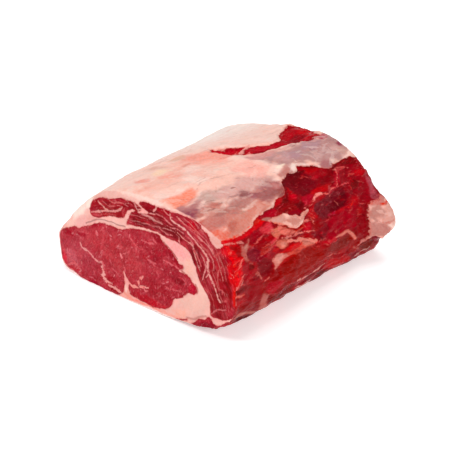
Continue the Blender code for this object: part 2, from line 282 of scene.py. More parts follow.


# The fresh cut: muscles, seams of fat and veins, from the left edge to the right.
# A blob is its centre, half widths, turn and colour. A streak is its points, half width, colour,
# opacity and lift. A crease is its points, half width, colour and depth; its colour is painted shade.
freshCutLook = {
    "seam": -101.5,  # the slab that holds the cut face ends here
    "facing": (0.35, 0.68),  # what looks this far forward belongs to the cut face
    "ragged": 0.45,  # how uneven the edges of the muscles are
    "muscles": {
        "eye": (
            (-95, 36), (-91, 40), (-86, 43), (-78, 47), (-70, 49.5), (-62, 53), (-56, 57.5), (-50, 61),
            (-42, 63.5), (-30, 65), (-20, 66.5), (-10, 70.5), (0, 73), (10, 74.6), (21, 75.6), (25, 71),
            (33, 66.5), (40, 60), (43, 57.5), (46.5, 57), (46, 54), (43, 50.5), (47, 50), (52, 49.5),
            (57, 45.5), (61, 41), (61, 36), (57, 33), (51, 32), (46, 27), (41, 23), (37, 21), (34, 15),
            (30, 10), (22, 6), (12, 3), (0, 4.2), (-8, 5), (-14, 6), (-17, 13), (-19, 9), (-22, 4),
            (-27, -0.5), (-35, -4), (-50, -5), (-66, -1.5), (-78, 2), (-88, 4), (-93, 10), (-95, 20),
            (-95.5, 29),
        ),
        "capLeft": (
            (-57, 68.5), (-56.5, 75), (-53, 81), (-46, 86), (-38, 88.6), (-30, 91), (-20, 95), (-10, 96.4),
            (-3, 96), (2.5, 94), (2.5, 91.5), (-1, 89.5), (-7, 89), (-11, 87.5), (-14, 84), (-17, 79),
            (-20, 77), (-29, 75), (-40, 70.5), (-48, 67), (-53, 66),
        ),
        "capRight": (
            (-14.5, 73), (-13.5, 77), (-11.4, 81.6), (-8.4, 86), (-4.6, 88.8), (1, 89.4), (8, 90),
            (10, 93.5), (2, 96), (1, 98.5), (8, 101), (14, 101), (20, 101), (28, 102), (35, 102.2),
            (45, 102.6), (55, 102.2), (60, 101.6), (64, 100.6), (67, 97.4), (72.6, 94.6), (78, 91),
            (86, 89), (92, 87), (99, 72), (104, 55), (103, 36), (98, 27), (90, 22.5), (84, 21), (77, 20),
            (74.5, 24), (75, 33), (72, 39), (67, 46), (64, 50), (62.5, 54), (60, 59.8), (57.2, 64.4),
            (54, 70), (50, 73.5), (42, 75.8), (30, 76), (20, 77), (8, 76), (-5, 74.5),
        ),
        "lip": (
            (54, 4), (58, 7.5), (63, 12.5), (69, 14), (72, 17.5), (75.5, 18), (78, 14), (83, 14.5),
            (89, 18.5), (93, 22), (89, 15.5), (80, 9), (70, 5), (60, 3),
        ),
        "thread": ((38, 2.2), (43, 4.4), (50.5, 7), (46, 4), (41, 2.4)),
    },
    "fatPatches": (
        ((-18, 27), (-16.4, 22.5), (-13.6, 19), (-12.4, 16.4), (-14.6, 12), (-13.6, 7), (-15, 0),
         (-22.5, 0), (-20.6, 5), (-20.4, 9), (-18.6, 14), (-18.8, 20)),
        ((79, 96), (86, 91), (86.5, 88), (82, 86), (77.5, 88), (74.5, 92)),
    ),
    "wobble": {"size": 5, "seeds": (41, 42), "reach": 0.45},
    "noises": {  # size, seed, layers and share of y
        "rough": (3.2, 48, 3, 1),
        "fine": (1.9, 49, 2, 1),
        "ragged": (2.4, 43, 2, 1),
        "lumps": (11, 46, 2, 1),
        "fibres": (1.3, 47, 1, 1),
    },
    "leanTone": "b23c45",
    "leanTints": ((0.3, 0.1, 0.9, 9, 44, "8c1c26"), (0.3, 0.1, 0.9, 7, 45, "d25c62")),
    "leanRim": {"within": (2.2, 0.2), "share": 0.35, "tone": "981622"},  # darkest just inside its edge
    "fatTone": "eeb6ac",
    "fatRim": {"within": (-1.6, 0.2), "share": 0.45, "tone": "e07a78"},
    "leanBlobs": (
        ((-70, 22), (26, 18), 10, "b4444e"),
        ((-40, 45), (24, 17), 5, "bc4249"),
        ((-15, 40), (24, 20), 0, "bb444a"),
        ((22, 60), (24, 12), 10, "a8323b"),
        ((30, 42), (26, 12), 0, "a9363f"),
        ((20, 22), (18, 12), 0, "a32f37"),
        ((12, 8), (16, 5), 0, "bb2a34"),
        ((-3, 9), (8, 4), 0, "b02a34"),
        ((-36, 10), (9, 5), 20, "a8202c"),
        ((-32, 3), (6, 3), 0, "9c1420"),
        ((-84, 40), (9, 4), 15, "a01c2a"),
        ((-66, 44), (9, 2.5), 8, "a82634"),
        ((-50, 60), (9, 3), 20, "a82230"),
        ((-90, 14), (4, 9), 0, "d0404c"),
        ((-76, 5), (9, 3), 0, "b8303a"),
        ((-81, 17), (8, 8), 0, "c8606a"),
        ((-50, -1), (16, 2.5), 0, "a81c34"),
        ((56, 38), (5, 5), 0, "b81c32"),
        ((44, 40), (6, 4), 0, "8f1c26"),
        ((38, 60), (8, 3), -45, "9c202c"),
        ((20, 72), (8, 4), 0, "96222c"),
        ((7, 50), (4, 3), 0, "a01c26"),
        ((-30, 82), (26, 12), 18, "960f19"),
        ((-47, 82), (7, 5), 35, "a80e1c"),
        ((10, 92), (26, 12), 0, "8e141d"),
        ((30, 84), (22, 8), -5, "7e121a"),
        ((0, 80), (10, 5), 0, "7a1018"),
        ((25, 99), (12, 4), 0, "9e1420"),
        ((58, 97), (6, 4), -20, "c41a28"),
        ((60, 70), (9, 14), -25, "7c1219"),
        ((66, 60), (8, 14), 0, "8a1c24"),
        ((86, 68), (13, 22), 10, "9a2026"),
        ((84, 38), (12, 14), 0, "8f1e24"),
        ((84, 26), (12, 6), 10, "8e1e24"),
        ((94, 50), (3.5, 20), 0, "8e1016"),
        ((97, 68), (3.5, 16), 12, "d22024"),
        ((91, 86), (6, 5), -50, "d8181e"),
        ((99.5, 50), (2, 14), 0, "d63634"),
        ((70, 9), (12, 5), 20, "8a1424"),
    ),
    "fatBlobs": (
        ((-84, 55), (14, 10), 40, "fbc3b8"),
        ((-72, 66), (7, 14), -40, "fbe0d4"),
        ((-58, 78), (8, 8), 20, "fbe0d4"),
        ((-66, 56), (12, 6), 35, "eeb0aa"),
        ((-98, 26), (4, 12), 0, "f9c9c6"),
        ((-80, -1), (16, 4), 0, "fce4e0"),
        ((-52, 65), (12, 3.5), 28, "e8a79f"),
        ((-35, 71), (18, 3.5), 12, "f3b8ae"),
        ((42, 68), (14, 9), -20, "f0a5a2"),
        ((53, 57), (6, 8), 0, "efb6a8"),
        ((66, 42), (10, 7), -40, "f1bfb2"),
        ((58, 24), (18, 11), 30, "eab8ac"),
        ((44, 9), (10, 6), 30, "f2b3a4"),
        ((30, 3), (20, 3), 0, "f2ada0"),
        ((0, 1), (24, 3), 0, "f1988c"),
        ((-17, 5), (5, 6), 0, "f0a394"),
        ((-16, 18), (5, 7), 0, "eea49e"),
        ((-18, 9), (2, 4), 0, "f4c8bc"),
        ((82, 20), (10, 3), 10, "e8a8a0"),
        ((0, 103), (45, 4), 5, "fad2c6"),
        ((80, 91), (7, 5), 0, "e6aaa0"),
        ((20, -1), (40, 2.2), 2, "f9e0da"),
        ((4, 92), (6, 4), 40, "f0a8a0"),
    ),
    "streaks": (
        (((-69, 35), (-66.5, 31.5), (-61, 30.5), (-57, 28.5), (-53, 25.5), (-48, 23.5)),
          1.1, "e59a98", 0.85, 0.1),
        (((-48, 24), (-44, 25.5), (-42.5, 22), (-44.5, 19)), 1.4, "e09492", 0.8, 0.1),
        (((-45, 20), (-43.5, 16), (-44.5, 11), (-42, 8), (-36, 5), (-29, 4), (-24, 3)),
          1.8, "eaa09a", 0.95, 0.15),
        (((-43, 27), (-42, 21), (-43, 17)), 0.85, "dc6e72", 0.7, 0.05),
        (((-14, 17.5), (-9, 16), (-4, 16.5), (1, 19), (5, 20), (8, 21)), 1.6, "ee9a92", 0.95, 0.15),
        (((-1.8, 18), (-1.6, 23), (0, 27), (4, 30.5)), 1.3, "eb918c", 0.9, 0.12),
        (((4, 20), (5.5, 16.5), (8.5, 18.5)), 0.94, "e2797b", 0.8, 0.08),
        (((-10.5, 63), (-6, 59), (-2.5, 56.5), (4, 56)), 0.68, "db666c", 0.75, 0.05),
        (((-3, 56), (-3.2, 52)), 0.77, "d86a70", 0.7, 0),
        (((4.5, 64), (9, 64.2), (16, 65.5)), 0.77, "dd6a70", 0.8, 0.05),
        (((14.5, 70.5), (16, 68), (19, 67)), 0.77, "d96a70", 0.8, 0),
        (((10, 49), (14, 48.3), (19, 48.2)), 0.94, "d7666c", 0.75, 0.05),
        (((15, 47.5), (18, 46)), 0.77, "d7666c", 0.7, 0),
        (((27, 55), (32, 54.3), (38, 53.6), (44, 52)), 0.77, "dc6c72", 0.8, 0.05),
        (((28, 30), (34, 29.4), (40, 30.2), (45, 31.5)), 0.68, "da676d", 0.75, 0.05),
        (((43, 44), (47, 44), (50, 41.5), (48.5, 38)), 0.68, "cc5a60", 0.7, 0),
        (((-87, 6), (-82, 9.5), (-76, 10.3), (-71, 8)), 0.94, "dc6a6e", 0.75, 0.05),
        (((-80, 13.5), (-76, 11.5), (-72, 9)), 0.85, "dc6a6e", 0.7, 0),
        (((-86, 2.6), (-82, 3.4), (-79, 2.4)), 0.85, "e07478", 0.7, 0),
        (((-86, 18.6), (-82, 18)), 1, "dc6a70", 0.6, 0),
        (((-70, 40.5), (-66.5, 39.5)), 1.2, "cf5a62", 0.6, 0),
        (((-70, 46), (-65, 46.2), (-60, 47)), 0.77, "cf5a62", 0.7, 0),
        (((-49.5, 53), (-48.5, 50.5)), 1.3, "e0767c", 0.75, 0.05),
        (((-43.5, 57.5), (-41.5, 56)), 1.1, "d06068", 0.6, 0),
        (((-41, 64), (-40.6, 57), (-42, 48), (-43, 40)), 0.77, "cd565e", 0.5, 0),
        (((-33.5, 52.5), (-32, 52)), 1, "dc6c74", 0.7, 0),
        (((-21, 42), (-19.6, 39)), 1, "ec8286", 0.9, 0.05),
        (((-17.5, 44), (-15, 45.6)), 0.77, "dc6c72", 0.7, 0),
        (((-12.5, 47), (-9, 50.4)), 0.77, "d5636a", 0.6, 0),
        (((-32, 24), (-28, 22), (-25, 19.5)), 0.77, "d2646a", 0.6, 0),
        (((-17.5, 33), (-17, 29), (-17, 26)), 0.59, "d8686e", 0.7, 0),
        (((19.5, 41), (20.2, 38)), 0.77, "cf5e64", 0.6, 0),
        (((29, 58.4), (31, 58.2)), 0.77, "cf5e64", 0.7, 0),
        (((13.5, 57), (15, 56.8)), 0.85, "cf5e64", 0.6, 0),
        (((-55.5, 70), (-48, 73.2), (-42, 75), (-36.6, 77), (-30, 80), (-24, 83), (-18, 88)),
          0.9, "eaa29c", 0.75, 0.06),
        (((-46.4, 83.3), (-44, 82), (-41.5, 80.3), (-36.6, 78.5), (-32, 78.6)), 0.68, "eaa69c", 0.75, 0.05),
        (((-41, 85), (-36, 83.4), (-31, 84), (-26, 86.4)), 0.52, "db7474", 0.7, 0.05),
        (((-34, 88.6), (-28, 88), (-22, 90.4), (-16, 91.6)), 0.52, "dc7c7a", 0.7, 0.04),
        (((-50, 68.5), (-44, 71), (-38, 73.4), (-32, 75.6), (-26, 77.6)), 0.45, "d0605f", 0.6, 0.03),
        (((-54, 68), (-50, 69), (-46, 70)), 0.75, "d05258", 0.6, 0),
        (((-26, 91.5), (-24.5, 90.5)), 0.75, "d85a62", 0.6, 0),
        (((-16, 77), (-18, 83), (-15, 88)), 0.52, "cf5f62", 0.4, 0),
        (((-6, 97), (-3, 93), (1, 89.4), (6, 88.8), (12, 89.6), (17.5, 88.2), (25.7, 87.7)),
          0.8, "e8a29c", 0.6, 0.08),
        (((-12, 78.2), (-6, 78.6), (-2, 79.6), (4, 80.4), (9.3, 81.4), (17.5, 82), (27.4, 84), (37.2, 84.4),
          (43.8, 82)), 0.5, "dc8a88", 0.55, 0.06),
        (((-13, 83), (-8, 84.4), (-2, 85.8), (4, 85.4), (10, 86)), 0.45, "d87e7c", 0.55, 0.04),
        (((0, 92.4), (6, 93.4), (12, 93), (18, 93.8)), 0.68, "eaa09c", 0.75, 0.05),
        (((16, 96.2), (18, 98), (19, 100.6)), 0.98, "eaa09a", 0.85, 0),
        (((19, 95), (26, 94.4), (32, 92), (38, 90)), 0.52, "dc7c7c", 0.75, 0.04),
        (((33.9, 100.2), (35.6, 95.6), (39, 94), (43.8, 92.9), (50.3, 90.9), (56.9, 86.8), (63.4, 82.4)),
          0.83, "efb2aa", 0.8, 0.08),
        (((40.5, 99.9), (48.7, 96.4), (58.5, 91.7), (66.7, 87.7), (75, 83.4), (80, 77)),
          0.6, "e08c88", 0.8, 0.05),
        (((42, 85.5), (48.7, 82.5), (57, 78.7), (59.4, 72.5), (61.8, 66.9), (65, 59.9)),
          0.68, "e69890", 0.75, 0.06),
        (((30, 88), (36, 87.6), (42, 88.6), (48, 87)), 0.52, "dc8080", 0.8, 0.04),
        (((22, 82.3), (26, 80.4), (31, 79.6), (36, 80.6)), 0.6, "dc7c7c", 0.75, 0),
        (((48, 101), (56, 98), (64, 93.4), (72, 88), (79, 81), (85, 71), (89, 59)),
          0.5, "dc8480", 0.6, 0.05),
        (((52, 103.4), (60, 100), (68, 95), (73, 91)), 0.45, "da7e7c", 0.55, 0.03),
        (((78, 88), (84, 81), (89, 72), (92, 60)), 0.45, "d67672", 0.5, 0.04),
        (((26, 102), (30, 99.4), (37, 98)), 0.5, "dc8280", 0.75, 0.03),
        (((78, 66), (82, 57), (86, 46), (90, 34)), 0.45, "cf6a68", 0.65, 0.02),
        (((70, 54), (73, 47), (79, 37), (80, 28)), 0.45, "cf6a68", 0.65, 0.02),
        (((52, 95.4), (58, 94.6), (63, 92)), 0.45, "d87070", 0.7, 0),
        (((42.8, 81), (43, 78), (43.5, 75.5)), 0.75, "de8480", 0.8, 0),
        (((17, 85.5), (20, 86)), 0.6, "c85458", 0.6, 0),
        (((50, 86), (54, 84), (58, 80.5)), 0.52, "d86e70", 0.7, 0),
        (((46, 96), (54, 94), (61, 90), (66, 86)), 0.52, "d0585c", 0.55, 0),
        (((60, 84), (64, 81.6), (70, 78), (74.1, 72.7), (73.3, 65.6), (76.6, 58.7), (81.5, 49.6),
          (84.8, 41.3), (86.4, 37.8)), 0.9, "eda8a0", 0.8, 0.08),
        (((66, 76), (70, 71), (71.6, 65), (70, 59), (68, 52)), 0.68, "e08c88", 0.8, 0.04),
        (((62, 86), (68, 82.6), (73, 80), (78, 74), (80, 66)), 0.52, "dc8482", 0.75, 0.04),
        (((88, 72), (85, 66), (84, 58), (86, 50)), 0.45, "cf6a68", 0.65, 0.02),
        (((73.4, 65), (75.4, 62), (74, 58.6), (72, 56)), 0.6, "e69c94", 0.85, 0.03),
        (((57, 76), (61, 73.5), (64, 69), (66.5, 64)), 0.75, "d86a6c", 0.75, 0.04),
        (((67, 82), (71, 81.4), (74, 79.5)), 0.83, "cf6e6a", 0.6, 0),
        (((86, 84), (83, 81), (80, 77.5)), 0.68, "d0605f", 0.6, 0),
        (((85, 50.5), (88, 50), (88.5, 46)), 0.68, "d4696a", 0.7, 0),
        (((92, 42), (90, 40)), 0.68, "d4696a", 0.6, 0),
        (((75.5, 22), (79, 26), (83, 29.5), (88, 31), (92, 33)), 0.68, "d27072", 0.7, 0),
        (((69, 45), (72, 43.5), (74, 42)), 0.68, "d26a6c", 0.7, 0),
        (((99.8, 84), (100.5, 70), (101.5, 55), (101, 42)), 0.52, "f08078", 0.6, 0.15),
    ),
    # sunk lines, darkened with painted shade
    "creases": (
        (((-62, 56), (-56, 60.5), (-50, 64.3), (-42, 66.8), (-34, 68), (-25, 68.6), (-16, 70)),
          0.6, "a8706c", -0.3),
        (((26, 71), (33, 67), (40, 61)), 0.8, "8f3036", -0.3),
        (((47, 55), (45, 52), (48, 50.3)), 0.9, "9c4a48", -0.3),
        (((60, 44), (62, 40), (61, 36)), 0.9, "b05a58", -0.3),
        (((60, 62), (62.4, 56), (64.4, 51)), 0.7, "b85c5c", -0.3),
        (((50, 8), (58, 10.5), (65, 15), (70, 17.5)), 1.0, "c08078", -0.3),
    ),
    "eyeStrays": {
        "count": 180, "seed": 62,
        "area": ((-94, 60), (-4, 74)), "length": (1.5, 5), "width": (0.3, 0.6), "opacity": (0.3, 0.75),
        "spread": 40, "tones": ("d06670", "da7a82", "e69498", "cc5c66"), "lift": 0.02,
    },
    "capStrays": {
        "count": 105, "seed": 63,
        "area": ((-56, 84), (24, 104)), "length": (2, 8), "width": (0.2, 0.45), "opacity": (0.2, 0.55),
        "spread": 11, "tones": ("cf5c62", "d96c70", "e59896", "c64c54"), "lift": 0.02,
    },
    "capShades": {
        "count": 210, "seed": 61,
        "area": ((-56, 88), (24, 104)), "length": (5, 14), "width": (0.6, 1.5), "opacity": (0.3, 0.6),
        "spread": 9, "tones": ("6c101a", "80141e", "b01824"), "lift": -0.05,
    },
    "capCentre": ((-55, 72), (-30, 84), (0, 89), (25, 90), (48, 88), (62, 78), (70, 62), (78, 45), (86, 25)),
    "uneven": {"strays": 0.45, "streaks": 0.8},  # how much the width of a streak varies
    "strayDepth": 0.2,  # stray streaks keep this far inside the lean
    "strayMargin": {"eye": 1, "cap": 0.8},
    "leanRise": (-0.8, 0.8),
    "fibreRise": (-0.4, 0.6),
    "capMargin": -1.5,  # the cap's fibres run this far past its edge
    "capStretch": 7,  # how much longer than wide the fibres of the cap are
    "eyeStretch": 2.4,
    "eyeGrain": 62,  # lie of the fibres in the eye muscle, in degrees from level
    "lift": {"lean": 0.3, "lumps": 0.35, "fibres": 0.1},
    "fibre": 0.8,
    "gloss": 0.35,
    "marbling": 0.42,
}

# The older cut at the back shows the same muscles, on a lower section, and has dried a little.
farCutLook = {
    "seam": 95.0,
    "facing": (0.45, 0.75),
    "height": 0.885,  # height of the back section against the front one
    "wander": {"size": 45, "seeds": (51, 52), "reach": 3.5},  # how far the muscles shift along the roast
    "dulled": "8a2a2c",
    "dulling": 0.35,
    "marbling": 0.5,
}

# The long sides: trimmed lean on the right, fat cap on top, thin fat on the left, lean beneath.
# A panel is an outline, its colour and how soft its edge is.
roastBodyLook = {
    "fatEdge": (
        (-110, 47), (-97, 47), (-90, 45.6), (-84, 44.4), (-78, 43.6), (-70, 43), (-62, 43.6), (-57, 45.6),
        (-52, 48), (-45, 48.5), (-38, 48.5), (-30, 48), (-27, 51), (-24, 53), (-18, 53.5), (-13, 52),
        (-9, 51.5), (-7, 54), (-3, 57), (-1, 60), (0, 65), (4, 66), (10, 66.5), (17, 69), (21, 67),
        (25, 65.5), (29, 66), (30, 70.5), (35, 69), (40, 66), (45, 63.5), (50, 59), (53, 55), (58, 51),
        (62, 49.5), (66, 52), (70, 51), (75, 51), (85, 50), (92, 49.5), (97, 45), (110, 38),
    ),
    "leftEdge": 276.0,  # girth where the fat of the left side ends
    "leftWander": 7,  # how far that edge wanders up and down
    "ragged": 0.9,
    "deepest": 12,  # depth inside the lean or fat past which nothing changes
    "wobble": {"size": 7, "seeds": (11, 12), "reach": 0.7},
    "noises": {  # size, seed, layers and share of y
        "rough": (4.5, 13, 3, 0.6),
        "fine": (2.2, 14, 2, 0.7),
        "ragged": (3.2, 21, 2, 1),
        "leftEdge": (38, 22, 2, 1),
        "veil": (22, 25, 3, 0.5),
        "smears": (5, 28, 3, 0.5),
        "fibres": (1.9, 31, 1, 1),
        "leanLumps": (6.5, 32, 2, 0.55),
        "fatLumps": (15, 33, 2, 1),
        "fatGrain": (3, 34, 2, 1),
    },
    "grainTurn": -10,
    "fibreStretch": 7,  # how much longer than wide the fibres in relief are
    "grainStretch": 4,  # the same for the fibres in colour
    "fibre": 0.6,  # how clearly the fibres show, against the cut face's 0.8
    "fibreLow": {"girths": (8, -8), "loss": 0.45},  # fibres blur towards the underside
    "leanTone": "981a20",
    "leanTints": ((0.5, 0.1, 0.5, 14, 23, "bc1a20"), (0.5, 0.2, 0.6, 11, 24, "70101a")),
    # painted shade: the lean darkens just below the fat's raised edge, most towards the back
    "leanRim": {"within": (3, 0.4), "places": (-95, -60), "share": 0.25, "tone": "6a060c"},
    # painted shade: the lean darkens towards the underside, from both sides
    "underShadeTone": "8c1a1e",
    "underShadeGirths": ((-4, -34), (10, 40)),  # where it begins and is full, on the right and past the left middle
    # thin membrane over the lean of the underside and the foot of the left side
    "veil": {"girths": (-60, -85), "noise": (-0.5, 0.9), "share": 0.5, "tone": "b06860"},
    "fatTone": "fac5b6",
    "fatTints": ((0.35, 0, 0.8, 24, 26, "f5ab9b"), (0.4, 0, 0.8, 19, 27, "fde6dc")),
    # the fat thins and reddens along its cut edges
    "fatRim": {"within": (-2.2, 0.4), "share": 0.55, "tone": "dd7468"},
    "leftTone": "f5c6b7",
    "leftGirths": (190, 250),
    # painted light: the fat is painted palest, as lit from above, where the back of the cap turns down to the
    # left
    "paintedLightOnTop": {
        "girths": (135, 215), "leftFoot": (270, 225), "places": (-60, 60), "share": 0.75, "tone": "fdeee6",
    },
    # painted shadow: the dark line under a membrane that stands out by at least this much
    "membraneShadow": {
        "leastLift": 0.35, "along": 0.4, "below": 0.6, "width": 0.6,
        "tone": "70080e", "opacity": 0.35, "lift": -0.3,
    },
    "gloss": {"lean": 0.95, "fat": 0.4, "girths": (-90, -40), "least": 0.15},
    # how much edges of panels and widths of streaks vary
    "uneven": {"leanPanels": 0.6, "fatPanels": 1.2, "leanStrays": 0.8, "fatStrays": 0.45, "streaks": 1.1},
    "leanDepths": {"strays": 0.8, "membraneShadows": 0.6, "fatStrays": -1.5},  # where each of them may lie
    # red meat that shows through the fat cap
    "openings": (
        ((-1, 140), (3, 145), (7, 149), (9, 145), (13, 140), (17, 135), (22, 128.5), (30, 121.5), (38, 116),
         (46, 112.4), (54, 110.4), (61, 112), (69, 120), (80, 127), (90, 130), (98, 127), (100, 112),
         (98, 100), (93, 97), (91, 91), (84, 92), (80, 89.5), (75, 91), (70, 95), (64, 95), (58, 98.5),
         (52, 103), (46, 103.5), (40, 106), (34, 106.5), (28, 107), (21, 109), (15, 112), (8, 114),
         (4, 120), (5, 128), (3, 136)),
    ),
    # fat and membrane left on the lean side
    "patches": (
        ((-45, 41), (-40, 41), (-33, 40.5), (-28, 39.5), (-22, 38), (-21, 35.5), (-17, 33), (-11, 30),
         (-6, 29), (0, 30), (4, 30), (2, 27), (-3, 25.5), (-6, 23), (-8, 21.5), (-14, 20.8), (-20, 22.3),
         (-25, 25), (-30, 29), (-34, 32), (-39, 34), (-42, 37)),
        ((77, -5), (80, -1), (84, 2.6), (92, 2.8), (102, 2), (104, -12), (99, -19), (92, -22), (91, -30),
         (86, -27), (83, -25), (78, -27), (72, -26), (75, -23), (75, -14), (76, -9)),
    ),
    "hollows": (  # outline, depth and how soft the step is
        (((2, 60), (6, 66), (18, 68), (28, 66), (36, 59), (38, 48), (30, 42), (18, 41), (8, 45), (4, 53)),
          -1.6, 3),
        (((14, 28), (30, 29), (50, 28), (60, 25), (60, 16), (52, 12), (34, 12), (18, 17)), -1.4, 2.5),
        (((-26, 46), (-12, 45), (-2, 42), (-2, 35), (-14, 35), (-24, 39)), -1.0, 2),
        (((-80, 26), (-68, 26), (-61, 20), (-64, 14), (-76, 16)), -0.9, 2),
        (((-72, 12), (-58, 10), (-52, 3), (-60, -2), (-72, 2)), -0.7, 3),
        (((-58, -24), (-36, -27), (-24, -30), (-30, -38), (-54, -36)), -0.5, 2.5),
        (((8, -28), (20, -33), (26, -42), (10, -40)), -0.9, 2),
        (((70, 44), (90, 46), (97, 42), (88, 36), (74, 38)), -0.8, 2.5),
        (((66, 2), (74, 0), (73, -20), (65, -16)), -1.0, 2.5),
        (((-60, 38), (-48, 38), (-44, 34), (-56, 32.5), (-70, 30), (-70, 36)), -0.5, 1.5),
    ),
    "leanPanels": (
        (((0, 112), (30, 102), (60, 93), (104, 82), (104, 134), (60, 126), (30, 131), (10, 150), (-4, 140)),
          "b4101c", 2),
        (((26, 104), (48, 100), (50, 116), (26, 128)), "bf323a", 3),
        (((-3, 140), (8, 150), (18, 134), (16, 120), (4, 124)), "c62630", 2),
        (((84, 112), (98, 114), (100, 98), (92, 94), (84, 100)), "c40a14", 2.5),
        (((66, 106), (80, 110), (88, 104), (78, 96), (66, 98)), "8e101a", 2),
        (((-50, 1), (-10, 1), (12, -8), (50, -10), (60, -22), (20, -22), (-60, -22), (-70, -8)),
          "962424", 3),
        (((-44, -6), (-22, 4), (-6, 3), (6, -4), (8, -16), (-8, -22), (-34, -20)), "982624", 2),
        (((-105, 47), (-96, 46), (-89, 41), (-88, 34), (-91, 28), (-87, 24), (-89, 19), (-88, 13), (-95, 7),
          (-106, 4)), "e8262a", 1.5),
        (((-97, 39.5), (-91, 38), (-86, 34), (-88, 28), (-93, 27), (-95, 33)), "a4080c", 1.5),
        (((-101, 28), (-95, 27), (-92, 23), (-96, 20), (-102, 22)), "d81a1e", 1),
        (((-105, 47), (-90, 46), (-80, 45), (-70, 45), (-60, 46), (-50, 50), (-45, 43), (-52, 40),
          (-62, 39), (-76, 39.4), (-88, 40.6), (-100, 43)), "dc2026", 0.8),
        (((-86, 36), (-82, 33), (-78, 34), (-75, 36.5), (-72.5, 35), (-74, 31), (-72, 28), (-77, 28.5),
          (-81, 26.5), (-81.5, 22), (-79, 17), (-76, 15), (-79, 14.5), (-84, 17), (-86, 22), (-88, 27)),
          "c46a62", 1.6),
        (((-82, 33), (-77, 33.5), (-76, 30), (-81, 29.5)), "cf857a", 1.4),
        (((-81, 26), (-77, 28), (-72, 27.5), (-68, 25), (-62, 21), (-60, 16), (-66, 14), (-73, 13.5),
          (-77, 16), (-80, 20)), "8e2831", 1),
        (((-73, 37), (-66, 39), (-58, 39.6), (-50, 39), (-43, 40), (-42, 36), (-45, 32.5), (-52, 31.5),
          (-60, 31.5), (-67, 28), (-71, 29)), "9e1822", 0.9),
        (((-57, 39), (-50, 38.6), (-43.5, 39.5), (-42.5, 35.5), (-48, 32.5), (-56, 33)), "d8484e", 1.2),
        (((-60, 43.6), (-50, 43), (-45, 44), (-46, 50), (-56, 51)), "d6423e", 1.5),
        (((-51, 34), (-43, 35), (-42, 24), (-44, 16), (-51, 16)), "de5058", 1.6),
        (((-66, 27.5), (-60, 29.8), (-54, 30.5), (-48, 29.6), (-45, 27.5), (-44, 25), (-49, 23.5),
          (-55, 23.5), (-60, 22.5), (-66, 23)), "9c0812", 0.7),
        (((-57, 29), (-50, 29), (-46, 26.6), (-50, 24.8), (-56, 25)), "bb000e", 0.8),
        (((-63, 22), (-56, 22.6), (-49, 21.6), (-44, 23), (-40, 23.5), (-41, 20.5), (-48, 18.6), (-57, 18),
          (-66, 17)), "b93c3a", 0.8),
        (((-62, 16.6), (-55, 17.6), (-48, 17), (-43, 15), (-41.5, 12), (-44, 10.2), (-50, 10), (-56, 11.5),
          (-62, 13)), "a40c1a", 0.7),
        (((-50, 16), (-44, 14.4), (-42.5, 11.6), (-48, 11.2)), "c00a12", 0.8),
        (((-72, 14), (-64, 13.4), (-57, 10), (-53, 6), (-55, 0), (-64, -2), (-70, 3)), "84161c", 1.6),
        (((-94, 20), (-86, 21), (-80, 16), (-79, 10), (-84, 6), (-92, 9)), "a51c24", 2),
        (((-82, 16), (-77, 14), (-78, 11.6), (-83, 12)), "780608", 0.8),
        (((-106, 4.5), (-98, 3.5), (-91, 1), (-84, -2), (-78, -5), (-86, -3.4), (-96, -1), (-105, 0)),
          "820306", 1),
        (((-104, -1.4), (-98, -3.4), (-94, -5.4), (-91, -7), (-96, -6.6), (-103, -4)), "d9695f", 0.8),
        (((-105, -6), (-94, -8), (-90, -12), (-96, -17), (-105, -18)), "ab0c15", 2),
        (((-62, -10), (-52, -11), (-44, -14), (-50, -20), (-58, -20), (-64, -15)), "ae1220", 1.5),
        (((-98, -18), (-86, -17), (-72, -20), (-66, -26), (-78, -27), (-94, -24)), "8a2222", 2),
        (((-97, -26), (-90, -26), (-82, -30), (-74, -34), (-66, -40), (-72, -39), (-82, -34), (-91, -30),
          (-98, -29)), "b66c62", 1.2),
        (((-93, -32), (-84, -35), (-76, -39), (-80, -42), (-90, -39), (-97, -34)), "640206", 1),
        (((-69, -17), (-63, -19), (-59, -24), (-60, -31), (-55, -37), (-50, -41), (-60, -42), (-67, -37),
          (-68, -29), (-70, -23)), "b5625b", 1.5),
        # painted shadow on the underside, over a hollow
        (((-59, -23), (-52, -25), (-44, -26), (-34, -27), (-26, -29), (-28, -38), (-42, -38), (-52, -36),
          (-58, -31)), "780f0c", 1.4),
        (((-53, 9), (-50, 8.4), (-45, 9.2), (-40, 7.8), (-35, 5.5), (-29, 4), (-32, 2), (-40, 1.2),
          (-46, -0.6), (-52, -1.4), (-51, 3)), "df8377", 0.8),
        (((-50, 7.5), (-44, 8.4), (-39, 6.8), (-42, 3), (-48, 2.4)), "e99a8e", 0.9),
        (((-44, 9.6), (-36, 9.6), (-28, 11), (-20, 11.5), (-15, 10), (-13.5, 7), (-20, 5), (-28, 5.5),
          (-36, 7), (-43, 8.6)), "cc070c", 0.6),
        (((-46, 0.4), (-38, 1.6), (-30, 1.4), (-24, 0.4), (-30, -0.8), (-40, -0.8)), "b81212", 0.6),
        (((-35, 5), (-26, 4.8), (-18, 5.2), (-13, 7), (-6, 5), (0, 2), (3, 0.2), (-3, -0.6), (-12, 0),
          (-22, 0.6), (-31, 2)), "db5c52", 0.7),
        (((-15, 7.4), (-8, 6), (-1, 2.8), (0, 1), (-6, 0.6), (-11, 2)), "d67a6c", 0.8),
        (((-44, 20.4), (-36, 19.6), (-31, 17.4), (-30, 14.6), (-33, 12), (-40, 11.8), (-43, 14)),
          "d9705f", 0.8),
        (((-40, 18), (-34, 17), (-33, 13.6), (-39, 13.4)), "e58a7a", 0.9),
        (((-31, 15.4), (-22, 13.8), (-12, 12.4), (-3, 9), (2, 6), (-5, 7.6), (-12, 9.8), (-22, 12.8)),
          "aa1418", 0.6),
